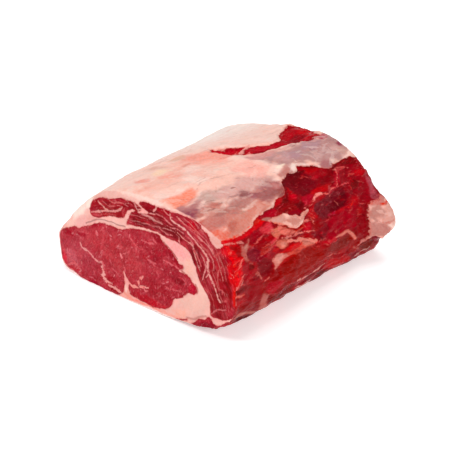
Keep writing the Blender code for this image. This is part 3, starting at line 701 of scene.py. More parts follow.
        (((-46, 31), (-40, 31), (-35, 28), (-36, 24.6), (-42, 23.6), (-45, 26)), "e27c6a", 0.9),
        (((-37, 32), (-31, 29), (-25, 24.8), (-20, 22.2), (-14, 20.6), (-8, 21.4), (-5.6, 21), (-7, 17.4),
          (-14, 16.6), (-20, 17.6), (-28, 19.4), (-34, 22.4), (-37, 26)), "ec7c70", 0.9),
        (((-20, 21), (-12, 20.6), (-6.5, 20.6), (-8, 17.8), (-16, 17.6)), "c81614", 0.9),
        (((-23, 34.6), (-17, 35), (-10, 34.4), (-3, 33.6), (-4.6, 31), (-9, 29.4), (-14, 30), (-19, 32)),
          "9a0e1d", 0.6),
        (((-51, 47.6), (-42, 48.4), (-32, 47.8), (-28, 46), (-32, 41.4), (-40, 41), (-47, 43)),
          "b42832", 0.8),
        (((-47, 43.6), (-42, 43), (-40, 40.6), (-45, 41)), "bd7e72", 0.8),
        (((-29, 52), (-24, 53.4), (-18, 54), (-13, 52.6), (-9, 52), (-12, 48.4), (-20, 46), (-27, 47.6)),
          "c2000e", 0.8),
        (((-18, 48), (-10, 50), (-5, 47), (-8, 44), (-16, 45)), "790406", 1),
        (((-27, 46), (-14, 44), (-4, 42), (-3, 36), (-12, 35), (-22, 38), (-27, 42)), "93080f", 1.4),
        (((-4, 40), (4, 38), (3, 32), (-3, 31)), "760008", 1.2),
        (((-9, 51), (-3, 57), (0, 60), (6, 60), (4, 52), (0, 44), (-5, 44)), "ae0812", 1.2),
        # painted highlight on the wet lean
        (((-3, 47), (0, 49), (3, 46.4), (0, 43)), "c93038", 0.8),
        (((0, 60), (4, 65), (10, 66.6), (18, 69), (25, 65.6), (30, 67), (37, 60), (38, 47), (30, 41),
          (20, 40), (10, 41), (5, 46), (3, 54)), "7e101a", 1.6),
        (((14, 62), (22, 64), (32, 62), (33, 55), (24, 52), (14, 56)), "740811", 2),
        (((30, 70), (38, 66), (45, 62.6), (50, 58), (54, 53.6), (60, 50), (56, 45), (46, 47), (40, 52),
          (36, 58), (31, 64)), "a40d18", 1.4),
        (((38, 65), (45, 62), (50, 57), (44, 55), (38, 58)), "b80c14", 1.2),
        (((36, 51), (42, 52), (45, 48), (38, 46)), "b8202a", 1.2),
        (((38, 47), (50, 46), (58, 43), (56, 38), (46, 38), (38, 40)), "8a1018", 1.6),
        (((57, 51), (64, 49), (61, 43), (57, 40), (54, 45)), "86040c", 1),
        (((7, 41), (14, 40), (20, 39), (19, 36), (12, 34), (5, 34.6)), "bb2c38", 0.9),
        (((20, 39.6), (30, 39.6), (40, 38.6), (50, 36.5), (44, 33.8), (36, 34), (30, 36.4), (22, 37.2)),
          "c40a12", 0.8),
        (((12, 32.4), (20, 34), (28, 34.4), (35, 32), (39, 30.4), (30, 28.6), (20, 28.6), (11, 29.4)),
          "b61019", 0.8),
        (((3, 29), (8, 30), (13, 27), (14, 20), (9, 17), (4, 21), (1, 25)), "bd101a", 1),
        (((4, 17), (10, 17), (12, 11), (6, 9), (2, 12)), "9a1a1c", 1),
        (((14, 29), (22, 29.6), (32, 29), (42, 29), (52, 28.4), (60, 26), (61, 18), (58, 12.4), (50, 11.4),
          (40, 11.2), (30, 11.6), (20, 14), (14, 20)), "7d2028", 1),
        (((31, 18), (40, 19), (52, 19), (58, 25), (60, 17), (52, 12), (38, 12)), "6c0c16", 1.2),
        (((20, 10), (34, 10), (50, 9.4), (66, 11), (66, 2), (58, -8), (45, -7), (30, -5), (14, -3),
          (10, 4)), "a40f1e", 1.2),
        (((0, 8.6), (9, 8), (20, 9), (24, 4), (14, -1), (6, 1.4)), "880c18", 1.4),
        (((29, 11.8), (40, 11), (52, 10.6), (62, 10.6), (68, 13), (64, 9), (52, 8.6), (40, 9.6)),
          "be101c", 0.6),
        (((11, -3.4), (18, -4.6), (27, -4.8), (26, -7.4), (16, -6.6)), "cb3038", 0.7),
        (((27, -5.4), (36, -5.8), (42, -6.2), (48, -7), (52, -11), (55, -16), (57, -20), (53, -18),
          (49, -12), (44, -9), (36, -7.6)), "e17e72", 0.6),
        (((20, -8), (36, -9), (46, -11), (50, -18), (40, -20), (26, -18), (18, -14)), "841712", 1.4),
        (((15, -22), (22, -24), (30, -26), (37, -30), (46, -31), (52, -36), (49, -40), (38, -39), (28, -36),
          (20, -31)), "b40008", 1),
        (((8, -29), (14, -32), (20, -36), (27, -42), (16, -42), (8, -36)), "6a0806", 1),
        (((-18, -31), (-8, -29.6), (0, -30), (8, -33), (0, -36), (-10, -35)), "7c0812", 1),
        (((60, 47), (66, 50), (72, 51), (80, 50.6), (92, 50), (98, 45), (100, 30), (99, 5), (86, 4),
          (75, 5), (66, 12), (61, 25), (57, 36)), "9a111c", 1.6),
        (((70, 50), (80, 50.4), (92, 50), (97, 44), (94, 38), (86, 42), (76, 46)), "840309", 1.2),
        (((62, 43), (67, 46.4), (74, 44.4), (82, 40.8), (76, 40), (68, 42), (63, 40)), "c6464a", 0.7),
        (((52, 33.4), (56, 38), (61, 42), (65, 41), (62, 36), (56, 33)), "bc0220", 0.8),
        (((83, 31), (90, 33.6), (96, 32), (96, 26), (88, 28)), "c4101a", 1),
        (((92, 20), (98, 22), (99, 2), (90, 2), (90.6, 8), (93, 12)), "b8505a", 1.6),
        (((70, 24), (78, 26), (84, 23), (80, 19.6), (72, 20)), "7e1014", 1.2),
        (((62, 13), (70, 13.4), (74, 9), (66, 7)), "b60f18", 1),
        (((40, 29.4), (50, 28.8), (52, 32), (42, 33)), "be3a44", 1.2),
        (((-9, 14), (0, 12.6), (2, 19), (-6, 20)), "c42c34", 1.5),
        (((65, 5), (72, 5), (80, 1.6), (77, -5), (74, -12), (74, -22), (66, -20), (62, -8)), "941019", 1.4),
        (((66, 3), (71, 3), (73, -2), (67, -4)), "ae0810", 1),
        (((66, -28), (72, -27), (80, -28), (84, -33), (85, -38), (74, -39), (66, -34)), "78180f", 1),
        (((82, -22), (86, -25), (90, -33), (94, -39), (86, -35), (83, -29)), "8a2d36", 0.8),
        (((48, -22), (58, -20), (66, -27), (60, -33), (50, -30)), "9a2626", 1.5),
        (((53, -33), (62, -34), (66, -40), (54, -41)), "84101c", 1.5),
    ),
    "fatPanels": (
        (((-104, 150), (-40, 152), (20, 140), (60, 112), (108, 108), (108, 300), (-108, 300)), "f9cec1", 7),
        (((-106, 185), (-106, 88), (-103.4, 90), (-103, 130), (-103.4, 180)), "fcdcd2", 1),
        (((-101, 109), (-92, 106.5), (-84, 104), (-76, 103.6), (-71, 99.5), (-78, 94), (-88, 92), (-98, 91),
          (-105, 93), (-102, 100)), "ff9a84", 2.6),
        (((-106, 92), (-92, 91), (-82, 91.6), (-75, 88), (-82, 83), (-88, 80), (-96, 74), (-106, 72)),
          "bc7f7c", 3),
        (((-106, 87), (-98, 86), (-92, 86), (-88, 82), (-92, 79.4), (-97, 76), (-106, 75)), "96525c", 2.4),
        (((-104, 72), (-96, 73), (-88, 67), (-94, 60), (-105, 58)), "cc7066", 2.5),
        (((-106, 74), (-103.4, 73), (-102, 67), (-106, 64)), "c42530", 0.8),
        (((-98, 74), (-84, 76), (-70, 75), (-58, 68), (-56, 58), (-66, 54), (-82, 57), (-96, 57)),
          "c87e75", 4),
        (((-92, 71), (-80, 70), (-70, 69), (-62, 66), (-72, 65.6), (-84, 67)), "b5746c", 1.5),
        (((-104, 56), (-90, 55), (-78, 51.4), (-83, 46), (-98, 48)), "e67c6c", 3),
        (((-64, 60), (-56, 62), (-50, 56), (-54, 51), (-62, 52)), "be8b7c", 2),
        (((-78, 92), (-66, 94), (-52, 91), (-50, 84), (-62, 79), (-78, 80)), "cca49a", 4),
        (((-62, 91), (-56, 90.6), (-52, 87), (-60, 85.6)), "b68b7f", 1.5),
        (((-62, 90), (-40, 90), (-20, 88), (-4, 80), (2, 70), (-30, 72), (-60, 74)), "dca8a0", 4),
        (((-62, 72), (-50, 75), (-40, 76.6), (-30, 75), (-18, 77), (-5, 73), (1, 67), (-4, 61.6),
          (-15, 59.6), (-26, 59.6), (-36, 62), (-50, 66), (-61, 67)), "c8948e", 3.5),
        (((-48, 75), (-42, 76), (-37, 73), (-41, 70), (-47, 71)), "98605f", 2),
        (((-37, 69), (-28, 70), (-16, 67), (-18, 62), (-28, 61), (-36, 64)), "a66064", 3),
        (((-14, 66), (-6, 67), (0, 64.6), (-5, 61), (-13, 61)), "b07070", 2),
        (((-28, 57), (-22, 57), (-12, 55), (-10, 52), (-20, 53.4), (-28, 53)), "e9b2a6", 1.2),
        (((-54, 57), (-40, 58), (-30, 56), (-28, 50), (-40, 49), (-52, 50)), "e2a294", 2),
        (((-26, 154), (-12, 152), (2, 140), (4, 122), (-8, 118), (-22, 128), (-28, 142)), "f8a797", 5),
        (((-66, 140), (-58, 138), (-54, 126), (-62, 124), (-68, 130)), "f9ad9d", 3),
        (((-86, 154), (-76, 153), (-74, 145), (-84, 144)), "f5aa9c", 2.5),
        (((-98, 134), (-90, 136), (-84, 128), (-92, 124)), "f8b0a0", 3),
        (((-56, 166), (-48, 165), (-42, 152), (-48, 148), (-56, 156)), "e9b6a6", 3),
        (((-44, 176), (-36, 172), (-34, 164), (-42, 164)), "f1b9ad", 3),
        (((-36, 166), (-24, 164), (-20, 156), (-30, 154)), "e5b29e", 3),
        (((-64, 152), (-52, 154), (-50, 144), (-62, 144)), "fbd2b8", 3),
        (((-42, 142), (-30, 140), (-26, 136), (-38, 136)), "e8a294", 1.8),
        (((-20, 100), (0, 102), (4, 88), (-6, 80), (-20, 88)), "fcb7aa", 5),
        (((12, 98), (18, 97), (30, 98), (45, 95), (58, 96), (68, 92), (80, 88), (90, 84), (101, 88),
          (103, 60), (94, 53), (80, 54), (66, 55), (55, 60), (48, 67), (38, 73), (30, 76), (20, 78),
          (14, 84), (12, 91)), "bd8c88", 3),
        (((34, 84), (42, 87), (52, 85), (56, 80), (46, 77), (38, 79)), "bd9096", 3),
        (((20, 92), (30, 94), (38, 89), (30, 84), (20, 86)), "cc9f9f", 3),
        (((62, 90), (74, 89), (82, 84), (74, 80), (62, 83)), "b98e92", 3),
        (((56, 76), (72, 74), (86, 70), (84, 64), (66, 66), (54, 70)), "cfa39e", 3),
        (((62, 80), (68, 80), (72, 78), (66, 77)), "a87a7e", 1.6),
        (((64, 59), (68, 62.6), (77, 61), (72, 56.6), (66, 55)), "b87c7e", 2),
        (((92, 71), (98, 72), (103, 69), (98, 65.6), (93, 67)), "984554", 1.4),
        (((84, 91), (90, 91), (97, 87), (92, 82.6), (85, 84)), "b54c5b", 1.4),
        (((86, 62), (96, 62), (98, 54), (88, 54)), "cc9c92", 2),
        # painted highlights on the fat: a cream spot, and a bright line along its edge
        (((10, 80.6), (16, 80), (21, 79), (18, 77.4), (11, 77.6)), "fce0cc", 0.9),
        (((20, 73), (27, 74), (33, 73), (38, 70), (45, 65), (51, 60), (53, 56), (49, 58.6), (42, 64),
          (35, 69), (30, 71), (24, 69.6)), "f2cfc6", 0.8),
        (((-2, 64.6), (3, 64.4), (4, 61), (0, 60.6)), "e6b3a5", 0.8),
        (((-46, 42), (-38, 41.6), (-30, 40), (-28, 34), (-36, 33), (-44, 38)), "d99a8e", 1),
        (((-44, 35), (-38, 35), (-32, 31), (-36, 30), (-43, 32)), "ee8270", 1),
        (((-30, 34), (-20, 33), (-12, 29), (-4, 29), (4, 30), (-3, 25), (-10, 24), (-22, 26)), "d18a7e", 1),
        (((-92, 45), (-78, 44), (-66, 45), (-54, 49), (-44, 48), (-34, 51), (-30, 57), (-36, 61), (-46, 60),
          (-56, 59.4), (-68, 60), (-82, 58)), "d6887a", 2),
        (((-88, 50), (-78, 50), (-74, 55), (-86, 56)), "c87468", 1.6),
        (((-34, 57), (-24, 55), (-13, 56), (-8, 63), (-18, 67), (-30, 65.6)), "a86866", 2.4),
        (((-17, 51), (-7, 52), (-2, 56), (1, 62), (-3, 65), (-12, 62)), "9c5452", 2),
        (((-11, 61.6), (-3, 61.6), (2, 65.4), (0, 69.6), (-10, 69)), "c47e7a", 1.6),
        (((1, 67.4), (8, 68), (16, 68.6), (23, 68), (22, 76), (12, 76), (3, 75)), "c8867e", 1.8),
        (((53, 50), (60, 49), (66, 51), (68, 58), (60, 60), (54, 58)), "b27474", 1.6),
        (((4, 107), (16, 107), (30, 104), (44, 101), (42, 97), (20, 99), (6, 101)), "dc9a94", 2.4),
        (((-104, 71), (-96, 73), (-86, 74), (-72, 74), (-72, 80), (-86, 81), (-98, 77)), "c67c72", 2.4),
        (((-64, 62), (-48, 62.4), (-42, 67), (-54, 70.6), (-66, 68)), "be8078", 3),
        (((78, 4), (90, 4.4), (100, 3.6), (101, 0.6), (90, 0), (82, 0.4)), "cc8078", 0.8),
        (((86, 0.6), (94, 0.4), (103, -0.4), (102, -1.6), (92, -1)), "da443a", 0.5),
        (((80, -6), (86, -2), (92, -1.6), (102, -2), (103, -13), (95, -15), (86, -12), (80, -12)),
          "dea296", 1.6),
        (((75, -10), (82, -12), (90, -15), (92, -24), (82, -25), (73, -25)), "c5857c", 1.6),
        (((77, -9), (79, -2), (84, 1), (90, 0), (90, -6), (84, -10)), "c2867c", 1.6),
    ),
    "streaks": (
        (((-104, 46.6), (-96, 46.6), (-88, 45.6), (-80, 44.8), (-70, 44.8), (-60, 46.4)),
          0.5, "f2564a", 0.8, 0.3),
        (((-102, 44), (-96, 42.6), (-90, 40.4), (-85, 38.4), (-82, 36)), 0.8, "e0847c", 0.8, 0.5),
        # these four are painted highlights on the wet frill of the front corner
        (((-103, 35.6), (-100, 35), (-96, 32.6)), 1.2, "f36058", 0.8, 0.4),
        (((-103.4, 24.6), (-99, 25.4), (-94, 26)), 0.7, "f2443c", 0.7, 0.4),
        (((-103, 20.4), (-98, 20.6), (-93, 22.6), (-88, 24.6)), 0.8, "f0726a", 0.8, 0.4),
        (((-103.6, 13), (-102, 16), (-99, 18)), 0.6, "f6604e", 0.8, 0.3),
        (((-103, 5.4), (-99, 7), (-95, 9.6), (-90, 11.6)), 0.8, "e07c74", 0.6, 0.5),
        (((-98, 5), (-94, 6.4), (-92, 9)), 0.7, "e98a80", 0.7, 0.4),
        (((-79, 7.4), (-75, 6), (-72, 3), (-69.5, -1)), 1.2, "bf5c55", 0.8, 0.4),
        (((-103.8, 40), (-104, 25), (-103.9, 8), (-103.8, -10), (-103.2, -20), (-102, -28)),
          0.7, "f79088", 0.8, 0.3),
        (((-72.5, 27), (-70.5, 25.4)), 0.7, "cf6468", 0.6, 0.2),
        (((-71, 27.5), (-66, 29.4), (-60, 31.2), (-52, 31.6), (-46, 31), (-42, 29)),
          0.7, "d95c58", 0.8, 0.5),
        (((-62, 23), (-56, 22), (-50, 21), (-44, 22), (-39, 24)), 0.8, "d85f58", 0.8, 0.5),
        (((-71, 15.6), (-66, 16.6), (-58, 17.6), (-50, 18.4), (-44, 19)), 0.6, "cf5652", 0.7, 0.3),
        (((-70, 16.6), (-69, 14), (-66, 13.6)), 0.6, "b8485a", 0.6, 0.2),
        # two raised membranes, their pale pink partly a painted highlight
        (((-37, 21.4), (-30, 18.8), (-24, 17), (-18, 15.8), (-12, 15), (-6, 13.4), (0, 11.4), (5, 9.4)),
          0.9, "ea8076", 0.85, 0.6),
        (((-36, 17.4), (-28, 14.6), (-22, 12.4), (-16, 10.4), (-12, 8.6), (-7, 6.2), (-2, 3.6), (3, 1),
          (7, -1)), 1.2, "ee8a7c", 0.9, 0.8),
        (((-30, 18), (-34, 19.4), (-38, 20.4)), 0.7, "de8c82", 0.7, 0.4),
        (((3, 0), (6, -1), (8, -2.4)), 1.3, "ea4c4a", 0.8, 0.4),
        (((-6, 20.4), (-3, 21.6), (0, 20.8), (3, 19.6), (6, 17.4)), 0.9, "eb8078", 0.85, 0.5),
        (((1, 21), (4, 18), (6, 14)), 0.6, "dd6c62", 0.7, 0.4),
        (((-5.6, 17), (-6.4, 19)), 0.7, "e8736c", 0.8, 0.3),
        (((-35, 42), (-28, 42.8), (-22, 43.6), (-15, 45)), 0.6, "cf4c54", 0.8, 0.3),
        (((4, 27.4), (7, 24), (11, 20)), 0.6, "dd504c", 0.7, 0.4),
        (((6, 29.6), (10, 26), (13, 22)), 0.5, "d84a48", 0.6, 0.4),
        (((2, 25), (5, 21.6), (8, 18.6)), 0.5, "e06058", 0.6, 0.4),
        (((1.6, 31.6), (5, 32.6), (10, 32), (14, 33.4), (17, 33), (20, 35), (25, 35.8), (30, 34.8),
          (34, 32.4), (38, 30.6), (44, 32.4), (50, 31), (54, 33.6), (58, 37.6), (62, 41.6), (66, 46)),
          0.9, "ee6c68", 0.9, 1.1),
        (((17, 34), (21, 35.8), (26, 36.2), (31, 35)), 0.8, "fb958c", 0.95, 0.4),
        (((2, 34), (6, 35), (10, 35.6)), 0.6, "cf4650", 0.7, 0.4),
        (((37, 30.4), (42, 33), (48, 35.6), (55, 37.4)), 0.6, "c66060", 0.7, 0.4),
        (((66, 47), (72, 45), (78, 42), (84, 39)), 0.8, "d8605e", 0.8, 0.6),
        (((50, 31.6), (56, 30.6), (62, 29.4), (70, 27)), 0.8, "e0565a", 0.8, 0.5),
        (((76, 31.6), (80, 32.4), (84, 30.6)), 0.9, "cf5a58", 0.7, 0.5),
        (((81, 24.4), (84, 22), (87, 19.6)), 0.7, "c25452", 0.7, 0.4),
        (((35, 24), (38, 21.6), (41, 20)), 0.8, "9c4048", 0.6, 0.2),
        (((49, 26), (53, 24), (54, 20)), 0.9, "9a3a40", 0.6, 0.2),
        (((30, 12), (36, 10.8), (42, 11.6)), 0.6, "b83446", 0.7, 0.2),
        (((56, 8.6), (61, 8.4), (65, 10)), 0.6, "e2302c", 0.8, 0.3),
        (((70, 7.4), (74, 5.4), (79, 3)), 0.7, "d65c5c", 0.8, 0.4),
        (((13, -17), (20, -19.6), (28, -21.6), (37, -24)), 0.6, "cc5650", 0.8, 0.4),
        (((12, -21), (20, -22.4), (28, -26)), 0.5, "b8403c", 0.6, 0.3),
        (((18, -6.4), (24, -8), (30, -9)), 0.6, "d2555a", 0.7, 0.3),
        (((-24, -24), (-14, -25.6), (-4, -26), (6, -26), (15, -25.6)), 1.0, "d98a80", 0.85, 0.3),
        (((-20, -34), (-14, -36), (-6, -38), (4, -40)), 1.6, "d9a49c", 0.75, 0.3),
        (((60, -28), (64, -26.6), (68, -26), (73, -27)), 0.8, "d88078", 0.8, 0.4),
        (((54, -26), (60, -30), (66, -35)), 0.6, "bf6058", 0.6, 0.3),
        (((38, -28), (41, -30.6)), 0.9, "d2504c", 0.7, 0.3),
        (((-66, -38), (-58, -40.4), (-48, -42)), 1.4, "dba49c", 0.75, 0.3),
        (((60, -39), (70, -39), (80, -38)), 1.0, "d8a098", 0.7, 0.2),
        (((-22, 58.6), (-15, 57.6), (-8, 56.6)), 0.7, "9a5c52", 0.6, -0.3),
        (((-86, 76), (-78, 75), (-74, 77), (-68, 76.4), (-65, 75)), 0.5, "9c6a62", 0.7, -0.3),
        (((-101, 63), (-94, 60.6), (-88, 57)), 0.6, "b8786e", 0.6, -0.2),
        (((-46, 83.6), (-44, 84), (-42, 83)), 0.6, "a0655f", 0.7, -0.2),
        (((-70, 100), (-68, 100.4)), 0.8, "d09284", 0.6, 0),
        (((-32, 89.6), (-28, 88.6)), 0.6, "c88e84", 0.6, 0),
        (((-58, 64), (-54, 63), (-50, 60)), 0.6, "b8786c", 0.5, -0.2),
        (((-40, 137), (-34, 139), (-26, 138)), 0.7, "e0988a", 0.6, -0.2),
        (((-8, 124), (0, 120), (8, 116)), 0.8, "e8887c", 0.7, -0.3),
        (((5, 121), (10, 119), (16, 121), (23, 123), (31, 124)), 1.5, "eda49b", 0.95, 0.7),
        (((6, 127), (12, 126), (18, 126.6)), 0.7, "e8837c", 0.85, 0.3),
        (((8, 120), (14, 116), (22, 111)), 0.8, "ee8c86", 0.8, 0.4),
        (((60, 97), (66, 95.8), (71, 95)), 0.6, "f0b0a8", 0.8, 0.4),
        (((70, 99), (80, 97), (90, 95)), 0.5, "d42a34", 0.6, 0.2),
        (((68, 108), (80, 104), (92, 103)), 0.5, "ce3038", 0.6, 0.3),
        (((72, 116), (82, 113), (94, 110)), 0.5, "cc3c44", 0.6, 0.3),
        (((80, 122), (88, 120), (96, 118)), 0.5, "cc3c44", 0.6, 0.3),
        # sunk wrinkles in the membrane, darkened with painted shade
        (((60, 89), (66, 84.6), (64, 78), (68, 74)), 0.7, "a1777b", 0.55, -0.5),
        (((70, 91), (76, 85), (84, 82.6), (92, 84)), 0.7, "a5797c", 0.55, -0.5),
        (((76, 80), (82, 74), (81, 67), (86, 62)), 0.7, "9c6c70", 0.55, -0.5),
        (((66, 72), (72, 68), (79, 70)), 0.7, "a87c7e", 0.5, -0.4),
        (((88, 80), (94, 76), (92, 70)), 0.7, "a06c70", 0.5, -0.4),
        (((54, 82), (60, 76.6), (58, 70), (62, 65)), 0.7, "ab8486", 0.5, -0.4),
        (((44, 88), (52, 86), (58, 87)), 0.7, "b08a8c", 0.5, -0.4),
        # painted highlights on the raised ridges between the wrinkles
        (((62, 86), (69, 80), (74, 76)), 1.4, "e6c6c2", 0.45, 0.4),
        (((84, 90), (90, 86), (96, 84)), 1.3, "e4c2bc", 0.45, 0.4),
        (((74, 72), (80, 76), (86, 76)), 1.3, "e2c0bc", 0.4, 0.4),
        (((48, 80), (54, 75), (56, 69)), 1.4, "e6cac4", 0.4, 0.4),
        # sunk wrinkles in the silverskin, darkened with painted shade
        (((-56, 78), (-48, 75), (-42, 77.6)), 0.8, "94605e", 0.5, -0.4),
        (((-36, 71), (-28, 67), (-20, 65)), 0.9, "8c5656", 0.5, -0.4),
        (((-32, 62), (-22, 59.6), (-12, 61)), 0.7, "945c58", 0.5, -0.4),
        (((-14, 73), (-7, 69), (-2, 65)), 0.8, "9c6664", 0.5, -0.4),
        (((-66, 70), (-58, 67), (-50, 68)), 0.7, "a67872", 0.5, -0.4),
        (((-74, 64), (-66, 61), (-60, 57)), 0.7, "ab7c74", 0.5, -0.4),
        # painted highlights on the silverskin's raised ridges
        (((-58, 62), (-48, 60), (-38, 62)), 1.5, "e8bfb4", 0.5, 0.4),
        (((-48, 71), (-40, 68), (-34, 69)), 1.3, "dcb0a8", 0.45, 0.3),
        (((-80, 71), (-72, 72), (-64, 76)), 1.4, "e3b6ab", 0.45, 0.3),
        (((-20, 72), (-12, 76), (-4, 75)), 1.4, "e6b8ae", 0.45, 0.3),
        (((80, -9), (86, -14), (90, -21)), 0.8, "b4766e", 0.6, -0.2),
        (((79, -13), (82, -18), (80, -23)), 0.7, "b87e76", 0.5, -0.2),
        (((85, -4), (92, -7), (100, -8)), 1.2, "ecbaae", 0.55, 0.3),
        (((84, -12), (90, -13), (97, -12)), 0.6, "c4655c", 0.5, 0),
    ),
    "leanStrays": {
        "count": 220, "seed": 51,
        "area": ((-104, 104), (-8, 66)), "length": (2, 7), "width": (0.3, 0.8), "opacity": (0.2, 0.65),
        "spread": 34, "tones": ("cc3438", "d8504e", "c01a22", "e4766e", "a00c14", "5c0408"), "lift": 0.15,
    },
    "openingStrays": {
        "count": 60, "seed": 52,
        "area": ((0, 100), (90, 148)), "length": (4, 14), "width": (0.3, 0.7), "opacity": (0.4, 0.8),
        "spread": 12, "tones": ("d8484a", "e87a78", "8a0c18"), "lift": 0.1,
    },
    "fatStrays": {
        "count": 300, "seed": 53,
        "area": ((-104, 104), (54, 240)), "length": (4, 18), "width": (0.7, 2.6), "opacity": (0.06, 0.26),
        "spread": 24, "tones": ("eda596", "e29a8c", "fdeade", "fff0e4", "d9a298", "f7b39f"), "lift": 0.12,
    },
    # fine wrinkles in the fat: slight real sinks, darkened with painted shade
    "fatCreases": {
        "count": 44, "seed": 54,
        "area": ((-100, 100), (56, 108)), "length": (4, 16), "width": (0.25, 0.5), "opacity": (0.3, 0.65),
        "spread": 24, "tones": ("b58078", "c08c84", "a07069"), "lift": -0.2,
    },
    # sunk lines, darkened with painted shade
    "creases": (
        (((-104, 2), (-98, 0.6), (-90, -2.4)), 0.9, "7c0208", -0.6),
        (((-92, -33), (-86, -36), (-79, -38)), 1.3, "4c0406", -0.6),
        (((-32, 29), (-25, 24), (-16, 20), (-8, 20)), 0.9, "a81414", -0.5),
        (((-22, 35), (-12, 30), (-4, 29.6)), 0.7, "6c0a12", -0.4),
        (((-8, 46), (0, 57), (3, 63), (12, 65), (24, 64), (36, 62)), 1.6, "6e0810", -0.7),
        (((60, 44), (64, 48), (70, 49)), 1.1, "6a040a", -0.5),
        (((14, 113), (26, 110), (40, 106)), 1.0, "8e1420", -0.7),
        (((62, 95), (72, 93), (82, 90)), 0.9, "96101c", -0.4),
        (((75, 2), (75.6, -6), (74, -16), (73, -22)), 0.8, "9c3436", -0.3),
        (((66, -28), (74, -30), (84, -33)), 0.9, "6a100e", -0.4),
    ),
    "lift": {
        "fatLip": 0.9, "patch": 0.9, "opening": -1.0, "leanLumps": 0.85, "fibres": 0.3,
        "fatLumps": 1.0, "fatGrain": 0.25,
    },
    "sideGirths": (-75, -45),  # the relief grows from the underside to the lean side between these
    "leftLumps": {"girths": (130, 180), "loss": 0.6},  # the fat lies smoother on the left
    "lipWidth": ((1.5, -1.5), (-14, -2)),  # the lip rises at the lean and sinks again into the fat
    "lipClear": -2,  # no lip this near to an opening
    "leanRise": (-0.6, 0.8),
    "patchRise": (-1, 1.5),
    "openingRise": (-1, 2),
    "hiddenRelief": {"leanLumps": 0.35, "fibres": 0.3, "left": 0.5},  # share left below and on the left
    "smoothFactor": 0.5,
    "voxel": 1.15,
    "smoothing": 6,
    "facing": (0.85, 0.45),  # what looks this far along the roast gets none or all of the sides' relief
    "marbling": 0.12,
}


def selectOnly(piece):
    bpy.ops.object.select_all(action="DESELECT")
    piece.select_set(True)
    bpy.context.view_layer.objects.active = piece


def applyModifier(piece, kind, **settings):
    modifier = piece.modifiers.new(kind.lower(), kind)
    for name, value in settings.items():
        setattr(modifier, name, value)
    bpy.ops.object.modifier_apply(modifier=modifier.name)


def drawnPoints(piece):
    # the piece's points in the drawings' millimetres
    points = np.empty(len(piece.data.vertices) * 3, np.float32)
    piece.data.vertices.foreach_get("co", points)
    return points.reshape(-1, 3) / drawing["mm"] - np.array(drawing["zero"])


def pointNormals(piece):
    normals = np.empty(len(piece.data.vertices) * 3, np.float32)
    piece.data.vertex_normals.foreach_get("vector", normals)
    return normals.reshape(-1, 3)


def movePoints(piece, points):
    points[:, 2] = np.maximum(points[:, 2], drawing["floor"])
    metres = (points + np.array(drawing["zero"])) * drawing["mm"]
    piece.data.vertices.foreach_set("co", metres.ravel().astype(np.float32))
    piece.data.update()


def emptyPaint(count):
    # no relief, and far from any streak
    farAway, clearPink = -6.0, [0.6, 0.3, 0.3, 0.0]
    return {
        "streak": np.full(count, farAway),
        "streakTone": np.tile(clearPink, (count, 1)),
        "height": np.zeros(count),
    }


def addCreases(paint, colours, places, creases):
    # a crease sinks into what it crosses, and darkens it with painted shade
    for points, halfWidth, code, depth in creases:
        distance = alongLine(places, smoothLine(points))[0]
        share = 1 - ramp(markLook["creaseCore"] * halfWidth, markLook["creaseEdge"] * halfWidth, distance)
        colours = mixInto(colours, markLook["creaseShade"] * share, code)
        paint["height"] += depth * share
    return colours


def turned(places, degrees):
    angle = math.radians(degrees)
    along = places[:, 0] * math.cos(angle) + places[:, 1] * math.sin(angle)
    across = places[:, 1] * math.cos(angle) - places[:, 0] * math.sin(angle)
    return along, across


def everywhere(places):
    return np.ones(len(places), bool)


def alongGrain(places):
    return np.full(len(places), roastBodyLook["grainTurn"])


def inEye(places):
    return withinOutline(places, freshCutLook["muscles"]["eye"]) > freshCutLook["strayMargin"]["eye"]


def alongEye(places):
    return np.full(len(places), freshCutLook["eyeGrain"])


def inCapMuscles(places):
    muscles = freshCutLook["muscles"]
    within = [withinOutline(places, muscles[name]) for name in ("capLeft", "capRight")]
    return np.maximum(*within) > freshCutLook["strayMargin"]["cap"]


def alongCap(places):
    # bearing of the cap muscle's middle line nearest to each place
    line = smoothLine(freshCutLook["capCentre"])
    steps = np.diff(line, axis=0)
    middles = (line[:-1] + line[1:]) / 2
    nearest = np.argmin(np.linalg.norm(places[:, None] - middles[None], axis=2), axis=1)
    return np.degrees(np.arctan2(steps[nearest, 1], steps[nearest, 0]))


def nearRim(within, rim):
    return rim["share"] * ramp(*rim["within"], within)


